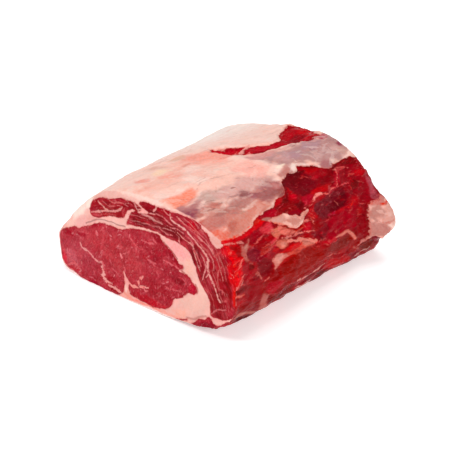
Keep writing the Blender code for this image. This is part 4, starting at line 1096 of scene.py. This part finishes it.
def paintSides(points):
    # the long sides' colours and relief, from the chart of (y, girth)
    look = roastBodyLook
    lift, noises, uneven = look["lift"], look["noises"], look["uneven"]
    angle = np.arctan2(points[:, 2] - drawing["centreHeight"], points[:, 0])
    girth = np.interp(angle, tableAngles, tableGirths)
    around = np.where(girth < -fullGirth / 4, girth + fullGirth, girth)
    onRight = around < fullGirth / 2
    places = np.stack([points[:, 1], girth], axis=1) + wobbled(points, look["wobble"])
    paint = emptyPaint(len(points))
    rough = namedNoise(points, noises["rough"])
    fine = namedNoise(points, noises["fine"])

    # millimetres inside the lean, negative in the fat
    fromEdge = np.interp(places[:, 0], *zip(*look["fatEdge"])) - places[:, 1]
    leftEdge = look["leftEdge"] + look["leftWander"] * namedNoise(points, noises["leftEdge"])
    lean = np.where(around > fullGirth / 2 - drawing["leftStart"], around - leftEdge, fromEdge)
    lean = np.clip(lean, -look["deepest"], look["deepest"])
    opening = np.max([withinOutline(places, outline) for outline in look["openings"]], axis=0)
    patch = np.max([withinOutline(places, outline) for outline in look["patches"]], axis=0)
    lean = np.minimum(np.maximum(lean, opening), -patch)
    lean = lean + look["ragged"] * namedNoise(points, noises["ragged"])

    # painted shade: the lean darkens towards the underside
    rightLow, leftLow = look["underShadeGirths"]
    low = ramp(*rightLow, girth) + ramp(*leftLow, around - fullGirth / 2)
    leanTone = np.tile(hexColour(look["leanTone"]), (len(points), 1))
    leanTone = mixInto(leanTone, np.clip(low, 0, 1), look["underShadeTone"])
    leanTone = addTints(leanTone, points, look["leanTints"])
    veil = look["veil"]
    veilShare = ramp(*veil["girths"], girth) * ramp(*veil["noise"], namedNoise(points, noises["veil"]))
    leanTone = mixInto(leanTone, veil["share"] * veilShare, veil["tone"])
    leanTone = addPanels(leanTone, places, look["leanPanels"], rough, uneven["leanPanels"])
    leanTone = addCreases(paint, leanTone, places, look["creases"])
    # painted shade below the fat's raised edge
    rim = look["leanRim"]
    leanTone = mixInto(leanTone, nearRim(lean, rim) * ramp(*rim["places"], places[:, 0]), rim["tone"])

    fatTone = np.tile(hexColour(look["fatTone"]), (len(points), 1))
    fatTone = mixInto(fatTone, ramp(*look["leftGirths"], around), look["leftTone"])
    fatTone = addTints(fatTone, points, look["fatTints"])
    smears = namedNoise(points, noises["smears"])
    fatTone = addPanels(fatTone, places, look["fatPanels"], smears, uneven["fatPanels"])
    # painted light: the top of the fat is painted palest
    pale = look["paintedLightOnTop"]
    litTopShare = pale["share"] * ramp(*pale["girths"], around) * ramp(*pale["leftFoot"], around)
    fatTone = mixInto(fatTone, litTopShare * ramp(*pale["places"], places[:, 0]), pale["tone"])
    fatTone = mixInto(fatTone, nearRim(lean, look["fatRim"]), look["fatRim"]["tone"])

    strays = {
        name: strayStreaks(look[name], everywhere, alongGrain)
        for name in ("leanStrays", "openingStrays", "fatStrays", "fatCreases")
    }
    onLean = strays["leanStrays"] + strays["openingStrays"]
    onFat = strays["fatStrays"] + strays["fatCreases"]
    # painted shadows below the raised membranes, kept to the lean
    membraneShadows = shadowsUnderMembranes(look["streaks"], look["membraneShadow"])
    depths = look["leanDepths"]
    addStreaks(paint, places, onLean, fine, uneven["leanStrays"], lean > depths["strays"])
    addStreaks(paint, places, membraneShadows, fine, uneven["leanStrays"], lean > depths["membraneShadows"])
    addStreaks(paint, places, onFat, rough, uneven["fatStrays"], lean < depths["fatStrays"])
    addStreaks(paint, places, look["streaks"], fine, uneven["streaks"])

    along, across = turned(places, look["grainTurn"])
    fibres = namedNoise(np.stack([along / look["fibreStretch"], across, along * 0], axis=1), noises["fibres"])
    leanShare = ramp(*look["leanRise"], lean)
    sideShare = ramp(*look["sideGirths"], girth) * onRight
    least = look["hiddenRelief"]
    smoother = 1 - look["leftLumps"]["loss"] * ramp(*look["leftLumps"]["girths"], around)
    lipRise, lipSink = look["lipWidth"]
    height = paint["height"] * np.where(onRight, 1, least["left"])
    leanLumps = leanShare * namedNoise(points, noises["leanLumps"])
    height += lift["leanLumps"] * leanLumps * (least["leanLumps"] + sideShare)
    height += lift["fibres"] * leanShare * fibres * (least["fibres"] + sideShare)
    height += lift["fatLumps"] * (1 - leanShare) * smoother * namedNoise(points, noises["fatLumps"])
    height += lift["fatGrain"] * (1 - leanShare) * namedNoise(points, noises["fatGrain"])
    height += lift["fatLip"] * ramp(*lipRise, lean) * ramp(*lipSink, lean) * (opening < look["lipClear"])
    height += lift["patch"] * ramp(*look["patchRise"], patch)
    for outline, depth, soft in look["hollows"]:
        height += depth * leanShare * ramp(-soft, soft, withinOutline(places, outline, soft + 2))
    height += lift["opening"] * ramp(*look["openingRise"], opening)

    fibreLow, gloss = look["fibreLow"], look["gloss"]
    wet = np.where(leanShare > 0.5, gloss["lean"], gloss["fat"])
    paint["lean"] = lean
    paint["leanTone"] = leanTone
    paint["fatTone"] = fatTone
    paint["height"] = height
    paint["grain"] = np.stack([along / look["grainStretch"], across, along * 0], axis=1)
    paint["fibre"] = look["fibre"] * (1 - fibreLow["loss"] * ramp(*fibreLow["girths"], girth))
    paint["gloss"] = wet * ramp(*gloss["girths"], girth) + gloss["least"]
    return paint


def paintCutFace(points, chartPlaces):
    # a cut face's colours and relief, from the chart of (x, z)
    look = freshCutLook
    lift, noises = look["lift"], look["noises"]
    places = chartPlaces + wobbled(points, look["wobble"])
    paint = emptyPaint(len(points))
    rough = namedNoise(points, noises["rough"])
    fine = namedNoise(points, noises["fine"])

    # millimetres inside the lean, negative in the fat
    inMuscle = {name: withinOutline(places, outline) for name, outline in look["muscles"].items()}
    lean = np.max(list(inMuscle.values()), axis=0)
    patch = np.max([withinOutline(places, outline) for outline in look["fatPatches"]], axis=0)
    lean = np.minimum(lean, -patch) + look["ragged"] * namedNoise(points, noises["ragged"])

    leanTone = np.tile(hexColour(look["leanTone"]), (len(points), 1))
    leanTone = addBlobs(leanTone, places, look["leanBlobs"], rough)
    leanTone = addTints(leanTone, points, look["leanTints"])
    leanTone = mixInto(leanTone, nearRim(lean, look["leanRim"]), look["leanRim"]["tone"])

    fatTone = np.tile(hexColour(look["fatTone"]), (len(points), 1))
    fatTone = addBlobs(fatTone, places, look["fatBlobs"], rough)
    fatTone = addCreases(paint, fatTone, places, look["creases"])
    fatTone = mixInto(fatTone, nearRim(lean, look["fatRim"]), look["fatRim"]["tone"])

    strays = (
        strayStreaks(look["capShades"], inCapMuscles, alongCap)
        + strayStreaks(look["eyeStrays"], inEye, alongEye)
        + strayStreaks(look["capStrays"], inCapMuscles, alongCap)
    )
    addStreaks(paint, places, strays, rough, look["uneven"]["strays"], lean > look["strayDepth"])
    addStreaks(paint, places, look["streaks"], fine, look["uneven"]["streaks"])

    # fibres follow the bend of the cap muscle, and lie slantwise in the eye
    distance, passed, side, length = alongLine(places, smoothLine(look["capCentre"]))
    inCap = np.maximum(inMuscle["capLeft"], inMuscle["capRight"]) > look["capMargin"]
    along, across = turned(places, look["eyeGrain"])
    grain = np.stack([along / look["eyeStretch"], across, along * 0], axis=1)
    capGrain = np.stack([passed * length / look["capStretch"], distance * side, passed * 0], axis=1)
    grain = np.where(inCap[:, None], capGrain, grain)

    height = paint["height"]
    height += lift["lean"] * ramp(*look["leanRise"], lean)
    height += lift["lumps"] * namedNoise(points, noises["lumps"])
    height += lift["fibres"] * ramp(*look["fibreRise"], lean) * namedNoise(grain, noises["fibres"])

    paint["lean"] = lean
    paint["leanTone"] = leanTone
    paint["fatTone"] = fatTone
    paint["height"] = height
    paint["grain"] = grain
    paint["fibre"] = np.full(len(points), look["fibre"])
    paint["gloss"] = np.full(len(points), look["gloss"])
    return paint


def storePaint(piece, paint):
    mesh = piece.data
    for name in ("lean", "streak", "fibre", "gloss"):
        layer = mesh.attributes.new(name, "FLOAT", "POINT")
        layer.data.foreach_set("value", paint[name].astype(np.float32))
    for name in ("leanTone", "fatTone", "streakTone"):
        colours = paint[name]
        if colours.shape[1] == 3:
            colours = np.hstack([colours, np.ones((len(colours), 1))])
        layer = mesh.attributes.new(name, "FLOAT_COLOR", "POINT")
        layer.data.foreach_set("color", colours.ravel().astype(np.float32))
    layer = mesh.attributes.new("grain", "FLOAT_VECTOR", "POINT")
    layer.data.foreach_set("vector", paint["grain"].ravel().astype(np.float32))


def blendPaint(first, second, share):
    # first where share is 0, second where it is 1
    result = {}
    for name in first:
        weight = share if first[name].ndim == 1 else share[:, None]
        if name == "grain":
            weight = weight > 0.5
        result[name] = first[name] * (1 - weight) + second[name] * weight
    return result


def bisectAt(piece, seam, keepFront):
    # cuts the piece square across at the drawn y of the seam, and closes it
    selectOnly(piece)
    bpy.ops.object.mode_set(mode="EDIT")
    bpy.ops.mesh.select_all(action="SELECT")
    where = (seam + drawing["zero"][1]) * drawing["mm"]
    bpy.ops.mesh.bisect(
        plane_co=(0, where, 0), plane_no=(0, 1, 0), use_fill=True,
        clear_outer=keepFront, clear_inner=not keepFront, threshold=drawing["weld"],
    )
    bpy.ops.object.mode_set(mode="OBJECT")


def makeBlock():
    # the whole block in even, fine quads, with the relief of its long sides
    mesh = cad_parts["ribeye"].data.copy()
    block = bpy.data.objects.new("wholeBlock", mesh)
    bpy.context.scene.collection.objects.link(block)
    selectOnly(block)
    mesh.materials.clear()
    bpy.ops.object.mode_set(mode="EDIT")
    bpy.ops.mesh.select_all(action="SELECT")
    bpy.ops.mesh.remove_doubles(threshold=drawing["weld"])
    bpy.ops.mesh.tris_convert_to_quads()
    bpy.ops.object.mode_set(mode="OBJECT")
    applyModifier(block, "SUBSURF", levels=1, render_levels=1)
    applyModifier(block, "REMESH", mode="VOXEL", voxel_size=roastBodyLook["voxel"] * drawing["mm"])
    applyModifier(
        block, "SMOOTH", factor=roastBodyLook["smoothFactor"], iterations=roastBodyLook["smoothing"],
    )
    points, normals = drawnPoints(block), pointNormals(block)
    sideways = ramp(*roastBodyLook["facing"], abs(normals[:, 1]))
    movePoints(block, points + normals * (paintSides(points)["height"] * sideways)[:, None])
    print("block:", len(block.data.polygons), "faces")
    return block


def cutPiece(block, name, seams):
    piece = block.copy()
    piece.data = block.data.copy()
    piece.name = name
    piece.data.name = name
    bpy.context.scene.collection.objects.link(piece)
    for seam, keepFront in seams:
        bisectAt(piece, seam, keepFront)
    return piece


def refineSkin(piece, seam):
    # halves every quad but the flat closing face
    selectOnly(piece)
    bpy.ops.object.mode_set(mode="EDIT")
    bpy.ops.mesh.select_mode(type="FACE")
    bpy.ops.mesh.select_all(action="DESELECT")
    bpy.ops.object.mode_set(mode="OBJECT")
    where = (seam + drawing["zero"][1]) * drawing["mm"]
    offPlane, square = 1e-5, 0.99
    for face in piece.data.polygons:
        face.select = abs(face.center.y - where) > offPlane or abs(face.normal.y) < square
    bpy.ops.object.mode_set(mode="EDIT")
    bpy.ops.mesh.subdivide(number_cuts=1, smoothness=0)
    bpy.ops.object.mode_set(mode="OBJECT")


def finishPiece(piece, material):
    selectOnly(piece)
    bpy.ops.object.shade_smooth_by_angle(angle=math.radians(beefLook["smoothAngle"]))
    piece.data.materials.append(material)
    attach(piece, "root")
    print(piece.name + ":", len(piece.data.polygons), "faces")
    return piece


# The same meat on all three pieces. A noise is its scale, detail and distortion, and counts its lumps
# to the millimetre where it follows the drawn grain, and to the metre where it doesn't.
beefLook = {
    "smoothAngle": 60,  # sharper edges stay sharp
    "noises": {
        "fibres": (0.85, 4.0, 0.3),
        "flecks": (0.3, 2.0, 1.2),
        "clouds": (0.16, 5.0, 0.6),
        "mottle": (170.0, 3.0, 0.0),
        "bend": (260.0, 2.0, 0.0),
        "fleckGaps": (190.0, 2.0, 0.0),
        "fatGrain": (520.0, 3.0, 0.0),
        "edges": (900.0, 2.0, 0.0),
    },
    "noiseRoughness": 0.55,
    "noiseSpan": (0.3, 0.7),  # a noise seldom leaves this span, which is stretched to the pair wanted
    "fibreDepth": (-0.16, 0.14),  # darkest and brightest fibres
    "bundleScale": 0.34,  # bundles of fibres to the millimetre
    "bundleEdge": 0.14,
    "bundleDepth": (-0.2, 0.03),
    "mottleDepth": (0.86, 1.06),
    "leanSaturation": (1.1, 1.02),
    "fleckWidth": (0.004, 0.018),
    "fleckGate": (0.46, 0.6),
    "fleckTone": "e58c8a",
    "cloudDepth": (0.92, 1.02),
    "fatSaturation": (1.16, 0.94),
    "edgeReach": (-0.35, 0.35),  # millimetres that the fine fraying moves an edge
    "leanEdge": (-0.4, 0.4),
    "streakEdge": (-0.5, 0.4),
    "leanBump": 0.0006,
    "fatBump": 0.0004,
    "fatBumpShare": 0.5,
    "roughDull": 0.52,
    "roughWet": 0.16,
    "wetMottle": (-0.15, 0.15),
    "specular": 0.03,
    "subsurface": 0.08,
    "subsurfaceReach": 0.002,
    "subsurfaceRadius": (1.0, 0.35, 0.25),
}


def addNode(tree, kind, inputs=(), **settings):
    node = tree.nodes.new("ShaderNode" + kind)
    for name, value in settings.items():
        setattr(node, name, value)
    for key, value in dict(inputs).items():
        socket = node.inputs[key]
        if isinstance(value, bpy.types.NodeSocket):
            tree.links.new(value, socket)
        else:
            socket.default_value = value
    return node


def readAttribute(tree, name, output):
    return addNode(tree, "Attribute", attribute_name=name, attribute_type="GEOMETRY").outputs[output]


def noiseValue(tree, vector, name):
    scale, detail, distortion = beefLook["noises"][name]
    inputs = {
        "Vector": vector, "Scale": scale, "Detail": detail, "Distortion": distortion,
        "Roughness": beefLook["noiseRoughness"],
    }
    return addNode(tree, "TexNoise", inputs).outputs["Fac"]


def mapValue(tree, value, start, end, smooth=False):
    # start and end are pairs: from the value's low and high to the result's
    inputs = {
        "Value": value, "From Min": start[0], "From Max": start[1], "To Min": end[0], "To Max": end[1],
    }
    kind = "SMOOTHSTEP" if smooth else "LINEAR"
    return addNode(tree, "MapRange", inputs, interpolation_type=kind, clamp=True).outputs["Result"]


def spreadNoise(tree, value, end):
    return mapValue(tree, value, beefLook["noiseSpan"], end)


def calculate(tree, operation, first, second):
    return addNode(tree, "Math", {0: first, 1: second}, operation=operation).outputs[0]


def mixColours(tree, share, first, second):
    node = addNode(tree, "Mix", {0: share, 6: first, 7: second}, data_type="RGBA")
    return node.outputs[2]


def shadeColour(tree, colour, value, saturation):
    inputs = {"Color": colour, "Value": value, "Saturation": saturation}
    return addNode(tree, "HueSaturation", inputs).outputs["Color"]


def leanMeatColour(tree, place, grain, fibres, mottle, marbling):
    # fibres, mottling and fine flecks of fat
    look = beefLook
    bent = noiseValue(tree, place, "bend")
    bentGrain = addNode(tree, "VectorMath", {0: grain, 1: bent}, operation="ADD").outputs[0]
    bundleInputs = {"Vector": bentGrain, "Scale": look["bundleScale"]}
    bundles = addNode(tree, "TexVoronoi", bundleInputs, feature="DISTANCE_TO_EDGE").outputs["Distance"]
    bundleShade = mapValue(tree, bundles, (0.0, look["bundleEdge"]), look["bundleDepth"])
    shading = calculate(tree, "ADD", spreadNoise(tree, fibres, look["fibreDepth"]), bundleShade)
    shading = calculate(tree, "MULTIPLY", readAttribute(tree, "fibre", "Fac"), shading)
    shading = calculate(tree, "ADD", shading, 1.0)
    value = calculate(tree, "MULTIPLY", shading, spreadNoise(tree, mottle, look["mottleDepth"]))
    saturation = spreadNoise(tree, fibres, look["leanSaturation"])
    colour = shadeColour(tree, readAttribute(tree, "leanTone", "Color"), value, saturation)

    fleckNoise = noiseValue(tree, grain, "flecks")
    offMiddle = calculate(tree, "ABSOLUTE", calculate(tree, "SUBTRACT", fleckNoise, 0.5), 0.0)
    fleckLines = mapValue(tree, offMiddle, look["fleckWidth"], (marbling, 0.0), smooth=True)
    gaps = noiseValue(tree, place, "fleckGaps")
    fleckGate = mapValue(tree, gaps, look["fleckGate"], (0.0, 1.0), smooth=True)
    flecks = calculate(tree, "MULTIPLY", fleckLines, fleckGate)
    return mixColours(tree, flecks, colour, (*hexColour(look["fleckTone"]), 1))


def beefMaterial(name, marbling):
    look = beefLook
    material = bpy.data.materials.new(name)
    material.use_nodes = True
    tree = material.node_tree
    shader = tree.nodes["Principled BSDF"]
    place = addNode(tree, "TexCoord").outputs["Object"]
    grain = readAttribute(tree, "grain", "Vector")
    fibres = noiseValue(tree, grain, "fibres")
    mottle = noiseValue(tree, place, "mottle")
    leanColour = leanMeatColour(tree, place, grain, fibres, mottle, marbling)

    # fat: pale, with faint pink clouding and a fine grain
    clouds = noiseValue(tree, grain, "clouds")
    fatGrain = noiseValue(tree, place, "fatGrain")
    fatValue = spreadNoise(tree, clouds, look["cloudDepth"])
    fatSaturation = spreadNoise(tree, fatGrain, look["fatSaturation"])
    fatColour = shadeColour(tree, readAttribute(tree, "fatTone", "Color"), fatValue, fatSaturation)

    fray = spreadNoise(tree, noiseValue(tree, place, "edges"), look["edgeReach"])
    leanEdge = calculate(tree, "ADD", readAttribute(tree, "lean", "Fac"), fray)
    leanShare = mapValue(tree, leanEdge, look["leanEdge"], (0.0, 1.0), smooth=True)
    colour = mixColours(tree, leanShare, fatColour, leanColour)

    streakEdge = calculate(tree, "ADD", readAttribute(tree, "streak", "Fac"), fray)
    streakShare = mapValue(tree, streakEdge, look["streakEdge"], (0.0, 1.0), smooth=True)
    streakShare = calculate(tree, "MULTIPLY", streakShare, readAttribute(tree, "streakTone", "Alpha"))
    streakColour = shadeColour(tree, readAttribute(tree, "streakTone", "Color"), fatValue, fatSaturation)
    tree.links.new(mixColours(tree, streakShare, colour, streakColour), shader.inputs["Base Color"])

    gloss = readAttribute(tree, "gloss", "Fac")
    wetness = calculate(tree, "ADD", gloss, spreadNoise(tree, mottle, look["wetMottle"]))
    roughness = mapValue(tree, wetness, (0.0, 1.0), (look["roughDull"], look["roughWet"]))
    tree.links.new(roughness, shader.inputs["Roughness"])

    leanInputs = {"Height": fibres, "Distance": look["leanBump"], "Strength": leanShare}
    leanBump = addNode(tree, "Bump", leanInputs).outputs[0]
    fatInputs = {
        "Height": fatGrain, "Distance": look["fatBump"], "Strength": look["fatBumpShare"], "Normal": leanBump,
    }
    tree.links.new(addNode(tree, "Bump", fatInputs).outputs[0], shader.inputs["Normal"])
    shader.inputs["Specular IOR Level"].default_value = look["specular"]
    shader.inputs["Subsurface Weight"].default_value = look["subsurface"]
    shader.inputs["Subsurface Radius"].default_value = look["subsurfaceRadius"]
    shader.inputs["Subsurface Scale"].default_value = look["subsurfaceReach"]
    return material


def makeFreshCut(block):
    look = freshCutLook
    piece = cutPiece(block, "freshCut", [(look["seam"], True)])
    refineSkin(piece, look["seam"])
    points, normals = drawnPoints(piece), pointNormals(piece)
    forward = ramp(*look["facing"], -normals[:, 1])
    face = paintCutFace(points, points[:, [0, 2]])
    sides = paintSides(points)
    movePoints(piece, points + normals * (face["height"] * forward)[:, None])
    storePaint(piece, blendPaint(sides, face, forward))
    return finishPiece(piece, beefMaterial("fresh cut beef", look["marbling"]))


def makeFarCut(block):
    look = farCutLook
    piece = cutPiece(block, "farCut", [(look["seam"], False)])
    refineSkin(piece, look["seam"])
    points, normals = drawnPoints(piece), pointNormals(piece)
    backward = ramp(*look["facing"], normals[:, 1])
    places = points[:, [0, 2]] / np.array([1, look["height"]]) + wobbled(points, look["wander"])
    face = paintCutFace(points, places)
    face["leanTone"] = mixInto(face["leanTone"], np.full(len(points), look["dulling"]), look["dulled"])
    sides = paintSides(points)
    movePoints(piece, points + normals * (face["height"] * backward)[:, None])
    storePaint(piece, blendPaint(sides, face, backward))
    return finishPiece(piece, beefMaterial("older cut beef", look["marbling"]))


def makeRoastBody(block):
    seams = [(freshCutLook["seam"], False), (farCutLook["seam"], True)]
    piece = cutPiece(block, "roastBody", seams)
    storePaint(piece, paintSides(drawnPoints(piece)))
    return finishPiece(piece, beefMaterial("beef and fat", roastBodyLook["marbling"]))


block = makeBlock()
pieces = [makeFreshCut(block), makeFarCut(block), makeRoastBody(block)]
for piece in pieces:
    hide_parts("ribeye")
bpy.data.objects.remove(block)
print("pieces made:", ", ".join(piece.name for piece in pieces))

# The set: pale floor, soft light, and the camera at the photograph's angle.
setLook = {
    "floorSize": 8.0,
    "floorTone": 0.92,
    "floorGlow": 0.45,
    "floorRoughness": 0.9,
    "floorSpecular": 0.1,
    "worldStrength": 0.38,
    "lights": (  # name, place, aim, size and watts
        ("keyLight", (-0.5, -1.2, 1.5), (0, 0, 0.05), 0.5, 12.3),
        ("fillLight", (1.5, -0.7, 1.1), (0, 0, 0.05), 0.45, 10),
        ("topLight", (0.1, 0.5, 1.7), (0, 0, 0.05), 0.9, 10),
    ),
    "azimuth": 40.0,
    "elevation": 29.7,
    "distance": 1.4,
    "target": (0.00160, -0.00399, 0.03780),
    "lens": 128.47,
    "sensor": 36.0,
}


def aimAt(thing, target):
    away = thing.location - target
    thing.rotation_euler = away.to_track_quat("Z", "Y").to_euler()


def makeFloor():
    bpy.ops.object.select_all(action="DESELECT")
    bpy.ops.mesh.primitive_plane_add(size=setLook["floorSize"], location=(0, 0, 0))
    floor = bpy.context.object
    floor.name = "floor"
    material = bpy.data.materials.new("pale floor")
    material.use_nodes = True
    shader = material.node_tree.nodes["Principled BSDF"]
    shader.inputs["Base Color"].default_value = (setLook["floorTone"],) * 3 + (1,)
    shader.inputs["Roughness"].default_value = setLook["floorRoughness"]
    shader.inputs["Specular IOR Level"].default_value = setLook["floorSpecular"]
    shader.inputs["Emission Color"].default_value = (1, 1, 1, 1)
    shader.inputs["Emission Strength"].default_value = setLook["floorGlow"]
    floor.data.materials.append(material)


def makeLights():
    world = bpy.data.worlds.new("studio")
    world.use_nodes = True
    background = world.node_tree.nodes["Background"]
    background.inputs["Color"].default_value = (1, 1, 1, 1)
    background.inputs["Strength"].default_value = setLook["worldStrength"]
    bpy.context.scene.world = world
    for name, place, aim, size, watts in setLook["lights"]:
        bpy.ops.object.light_add(type="AREA", location=place)
        light = bpy.context.object
        light.name = name
        light.data.size = size
        light.data.energy = watts
        aimAt(light, Vector(aim))


def makeCamera():
    azimuth, elevation = math.radians(setLook["azimuth"]), math.radians(setLook["elevation"])
    bpy.ops.object.camera_add()
    camera = bpy.context.object
    target = Vector(setLook["target"])
    outward = (
        math.sin(azimuth) * math.cos(elevation),
        -math.cos(azimuth) * math.cos(elevation),
        math.sin(elevation),
    )
    camera.location = target + setLook["distance"] * Vector(outward)
    aimAt(camera, target)
    camera.data.sensor_width = setLook["sensor"]
    camera.data.lens = setLook["lens"]
    bpy.context.scene.camera = camera


makeFloor()
makeLights()
makeCamera()
bpy.context.scene.view_settings.view_transform = "Standard"
print("set made")
